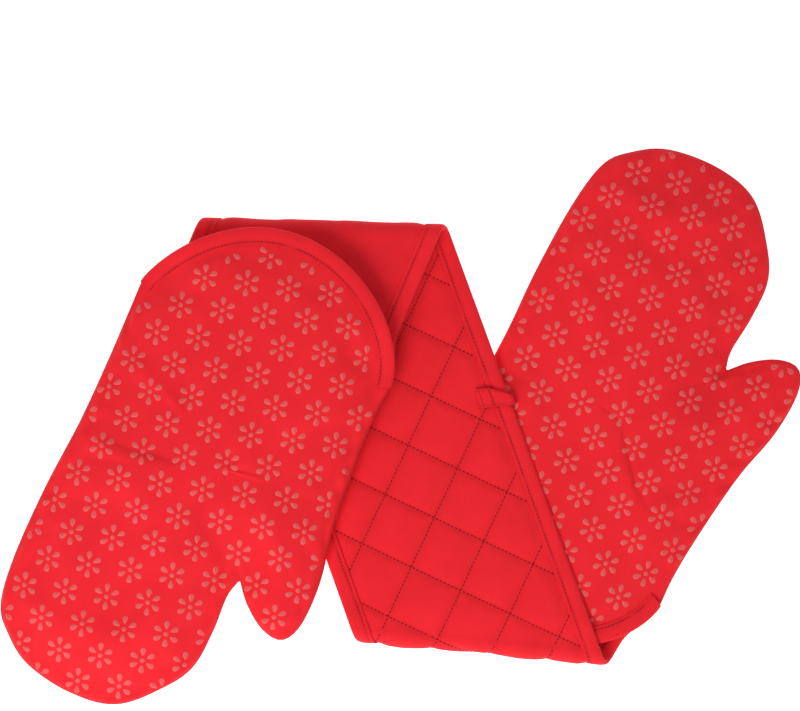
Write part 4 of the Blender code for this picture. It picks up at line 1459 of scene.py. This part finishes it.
    def build_print(self, palm: bpy.types.Object) -> bpy.types.Object:
        """Flowers of silicone on the palm: six teardrop petals round a dot, in staggered rows."""
        mirror = 1.0 if self.hand is Hand.UPPER else -1.0
        anchor = np.array([-51.3, 15.0]) if self.hand is Hand.UPPER else np.array([-71.4, -253.0])
        column = np.array([PRINT.column[0], PRINT.column[1] * mirror])
        row = np.array([PRINT.row[0], PRINT.row[1] * mirror])
        first, second = np.meshgrid(np.arange(-24, 25), np.arange(-24, 25))
        centres = anchor + first.reshape(-1, 1) * column + second.reshape(-1, 1) * row
        near = (np.abs(centres[:, 0]) < 130.0) & (centres[:, 1] > -310.0) & (centres[:, 1] < 80.0)
        centres = centres[near]
        course = math.atan2(column[1], column[0]) + math.pi / 2
        petal, ring_faces, fan, shade = self.petal_shape()
        parts = []
        for number in range(PRINT.petals + 1):
            turn = course + number * 2.0 * math.pi / PRINT.petals
            shape = petal.copy()
            if number == PRINT.petals:
                angle = np.linspace(0.0, 2.0 * math.pi, 12, endpoint=False)
                circle = np.stack([np.cos(angle), np.sin(angle)], -1) * PRINT.dot
                shape = np.concatenate([
                    np.concatenate([circle * scale, np.full((12, 1), level)], axis=1)
                    for scale, level in ((1.0, -PRINT.sunk), (0.84, PRINT.raised * 0.85))
                ] + [[[0.0, 0.0, PRINT.raised], [0.0, 0.0, -PRINT.sunk]]])
            rotated = np.stack([
                shape[:, 0] * math.cos(turn) - shape[:, 1] * math.sin(turn),
                shape[:, 0] * math.sin(turn) + shape[:, 1] * math.cos(turn), shape[:, 2]], axis=1)
            middle = rotated[:, :2].mean(axis=0)
            spots = centres + middle
            kept = inside(self.outline, spots[:, 0], spots[:, 1])
            kept &= distance_to(self.seam, spots[:, 0], spots[:, 1]) > PRINT.margin
            kept &= distance_to(self.arch, spots[:, 0], spots[:, 1]) > CLOTH.tape_width + PRINT.margin
            moves = np.concatenate([centres[kept], np.zeros((int(kept.sum()), 1))], 1)
            placed = rotated[None] + moves[:, None]
            start = (np.arange(len(placed)) * len(shape))[:, None, None]
            parts.append(Surface(
                placed.reshape(-1, 3), (ring_faces + start).reshape(-1, 4), (fan + start).reshape(-1, 3),
                placed.reshape(-1, 3)[:, :2], np.tile(shade, len(placed))))
        whole = joined(parts)
        level = whole.points[:, 2].copy()
        xy = self.pattern.plans[self.hand].world(whole.points[:, 0], whole.points[:, 1])
        whole.points = np.concatenate([xy, np.full((len(xy), 1), PRINT.start_height)], axis=1)
        piece = make_mesh(f"{self.side}_palm_print", whole)
        wrap = piece.modifiers.new("onto_palm", "SHRINKWRAP")
        wrap.target = palm
        wrap.wrap_method = "PROJECT"
        wrap.use_project_z = True
        wrap.use_negative_direction = True
        wrap.use_positive_direction = False
        graph = bpy.context.evaluated_depsgraph_get()
        landed = np.zeros(len(piece.data.vertices) * 3, np.float32)
        piece.evaluated_get(graph).data.vertices.foreach_get("co", landed)
        piece.modifiers.remove(wrap)
        landed = landed.reshape(-1, 3)
        landed[:, 2] += level * MM
        piece.data.vertices.foreach_set("co", landed.reshape(-1))
        piece.data.update()
        self.shop.finish_piece(piece, self.shop.finishes.silicone, "silicone_print")
        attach(piece, self.body)
        return piece

    def petal_shape(self) -> tuple[Array, Array, Array, Array]:
        """A teardrop, pointed inwards, in two rings and two middles: x = -cos(t), y = sin(t) sin(t/2)."""
        turn = np.linspace(0.0, 2.0 * math.pi, 12, endpoint=False)
        half = (PRINT.outer - PRINT.inner) / 2
        middle = PRINT.inner + half
        across = np.sin(turn) * np.sin(turn / 2) / 0.77
        rings = []
        for scale, level in ((1.0, -PRINT.sunk), (0.86, PRINT.raised * 0.85)):
            ring = np.stack([middle - half * scale * np.cos(turn), PRINT.petal_half * scale * across,
                             np.full(12, level)], axis=1)
            rings.append(ring)
        centre = np.array([[middle + 0.5, 0.0, PRINT.raised], [middle + 0.5, 0.0, -PRINT.sunk]])
        points = np.concatenate(rings + [centre])
        index = np.arange(24).reshape(2, 12)
        index = np.concatenate([index, index[:, :1]], axis=1)
        cap = [[12 + k, 12 + (k + 1) % 12, 24] for k in range(12)]
        base = [[(k + 1) % 12, k, 25] for k in range(12)]
        shade = np.concatenate([np.zeros(12), np.full(12, 0.42), [1.0, 0.0]])
        return points, quads_of(index)[:, ::-1], np.array(cap + base), shade

    def build(self) -> None:
        """Every piece of the mitt."""
        palm = self.build_palm()
        self.build_cuff()
        self.build_back()
        self.build_print(palm)


# ---------------------------------------------------------------- the hanging loop


@dataclass
class HangingLoop:
    """Doubled tape sewn across the thumb-side binding, with its free end over the edge."""

    shop: Workshop
    width: float = 13.5
    place_along: float = 5.0
    tail: float = 8.8
    sewn: float = 10.0
    reach: float = 2.0
    drop: float = 3.6
    tape: float = 0.7
    lift: float = 0.8
    slant: float = math.radians(14.0)
    wedge: float = 0.45

    def hairpin(self, path: list[tuple[float, float]], gap: float) -> Array:
        """Middle line of a doubled tape: out along the path, round a half circle and back above it."""
        line = spline(path, 0.7)
        run = unit(np.gradient(line, axis=0))
        up = np.stack([run[:, 1], -run[:, 0]], axis=1)
        turn = np.linspace(-math.pi / 2, math.pi / 2, 6)[1:-1, None]
        centre = line[-1] + up[-1] * gap / 2
        nose = centre + run[-1] * abs(gap) / 2 * np.cos(turn) + up[-1] * gap / 2 * np.sin(turn)
        return np.concatenate([line, nose, (line + up * gap)[::-1]])

    def build_tape(self, name: str, line: Array, body: str) -> None:
        """One doubled tape, swept across its width, which narrows evenly from the sewn line outwards."""
        pattern = self.shop.pattern
        across = np.linspace(-self.width / 2, self.width / 2, 12)[:, None]
        out = np.clip((self.sewn - line[:, 0]) / (self.sewn + self.reach), 0.0, 1.0)
        kept = self.width / 2 - (self.width / 2 - across) * (1.0 - self.wedge * out)
        u = pattern.half_width - line[:, 0] + 0.0 * across
        v = -self.place_along + kept + (self.sewn - line[:, 0]) * math.tan(self.slant)
        xy = pattern.middle.world(u, v)
        points = np.concatenate([xy, (pattern.middle_base(xy) + line[:, 1])[..., None]], axis=-1)
        # a darker line 1.6 mm in from each long edge: the edge stitching, with painted shade in its dent
        edge = np.abs(np.abs(across) - self.width / 2)
        shade = np.broadcast_to(0.5 * np.exp(-((edge - 1.6) ** 2) / 0.4), u.shape)
        piece = make_mesh(name, Surface.strip(points, np.stack([u, v], -1), shade))
        thicken(piece, self.tape)
        self.shop.finish_piece(piece, self.shop.finishes.tape, "binding_tape")
        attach(piece, body)
        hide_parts(name)

    def build(self) -> None:
        """The sewn tab, the free loop and the stitches across them."""
        gap = self.tape + CLOTH.gap
        low = CLOTH.panel + self.lift + self.tape / 2
        tail = [(self.sewn + CLOTH.gap, low), (self.sewn + self.tail / 2, low), (self.sewn + self.tail, low)]
        free = [(self.sewn, low), (self.sewn / 2, low), (-self.reach / 2, low - 0.1),
                (-self.reach, low - self.reach / 2), (-self.reach, low - self.drop)]
        self.build_tape("hanging_loop_tab", self.hairpin(tail, -gap), "strap")
        self.build_tape("hanging_loop", self.hairpin(free, gap), "loop")
        self.build_stitches(low + gap + self.tape / 2)

    def build_stitches(self, top: float) -> None:
        """Two rows of stitches across the tab, close to the binding."""
        pattern = self.shop.pattern
        parts = []
        for inset in (self.sewn + 1.2, self.sewn + self.tail - 1.2):
            along = np.arange(-self.width / 2 + 1.0, self.width / 2 - 0.5, 2.0)
            v = -self.place_along + along + (self.sewn - inset) * math.tan(self.slant)
            flat = np.stack([np.full_like(v, pattern.half_width - inset), v], axis=-1)
            runs = np.broadcast_to(np.array([0.0, 1.0]), flat.shape)
            parts.append(stitches_on(
                lambda u, w: np.concatenate([
                    pattern.middle.world(u, w),
                    (pattern.middle_base(pattern.middle.world(u, w)) + top)[..., None]], axis=-1),
                flat, runs, 1.5, 0.28))
        piece = make_mesh("hanging_loop_stitching", joined(parts))
        self.shop.finish_piece(piece, self.shop.finishes.thread, "binding_tape")
        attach(piece, "strap")


# ---------------------------------------------------------------- the studio


@dataclass
class Studio:
    """Camera straight above, soft light and a white table."""

    centre: tuple[float, float] = (0.0, 0.049)
    width: float = 0.552
    distance: float = 2.4

    def camera(self) -> None:
        """A long lens that takes in the given width of the table."""
        data = bpy.data.cameras.new("overhead_camera")
        data.sensor_fit = "HORIZONTAL"
        data.lens = data.sensor_width * self.distance / self.width
        camera = bpy.data.objects.new("overhead_camera", data)
        camera.location = (self.centre[0], self.centre[1], self.distance)
        bpy.context.scene.collection.objects.link(camera)
        bpy.context.scene.camera = camera

    def lamp(self, name: str, place: tuple[float, float, float], size: float, power: float) -> None:
        """A square soft box aimed at the middle of the mitt."""
        data = bpy.data.lights.new(name, "AREA")
        data.size = size
        data.energy = power
        lamp = bpy.data.objects.new(name, data)
        lamp.location = place
        lamp.rotation_euler = (Vector((0.0, 0.0, 0.0)) - Vector(place)).to_track_quat("-Z", "Y").to_euler()
        bpy.context.scene.collection.objects.link(lamp)

    def table(self) -> None:
        """A wide matt white table."""
        mesh = bpy.data.meshes.new("table")
        half = 6.0
        mesh.from_pydata([(-half, -half, -0.0006), (half, -half, -0.0006), (half, half, -0.0006),
                          (-half, half, -0.0006)], [], [(0, 1, 2, 3)])
        table = bpy.data.objects.new("table", mesh)
        bpy.context.scene.collection.objects.link(table)
        material = bpy.data.materials.new("white_table")
        material.use_nodes = True
        shader = material.node_tree.nodes["Principled BSDF"]
        shader.inputs["Base Color"].default_value = (0.95, 0.95, 0.95, 1.0)
        shader.inputs["Roughness"].default_value = 0.9
        shader.inputs["Emission Color"].default_value = (1.0, 1.0, 1.0, 1.0)
        shader.inputs["Emission Strength"].default_value = 0.9
        mesh.materials.append(material)

    def build(self) -> None:
        """Set up everything that isn't the mitt."""
        self.table()
        world = bpy.data.worlds.new("soft_sky")
        world.use_nodes = True
        world.node_tree.nodes["Background"].inputs["Color"].default_value = (1.0, 1.0, 1.0, 1.0)
        world.node_tree.nodes["Background"].inputs["Strength"].default_value = 0.4
        bpy.context.scene.world = world
        bpy.context.scene.view_settings.view_transform = "Standard"
        self.lamp("key_light", (-0.7, -1.2, 1.5), 1.1, 30.0)
        self.lamp("fill_light", (1.0, 0.9, 1.9), 1.4, 9.5)


def main() -> None:
    """Build the studio, then the strap, the mitts and the loop."""
    logging.basicConfig(level=logging.INFO, format="%(name)s: %(message)s")
    studio = Studio()
    studio.camera()
    studio.build()
    shop = Workshop(FoldedPattern(), Finishes())
    strap = Strap(shop)
    strap.build()
    for hand in Hand:
        Mitt(shop, hand, strap).build()
    HangingLoop(shop).build()
    LOG.info("%d pieces made", shop.count)


if __name__ == "__main__":
    main()
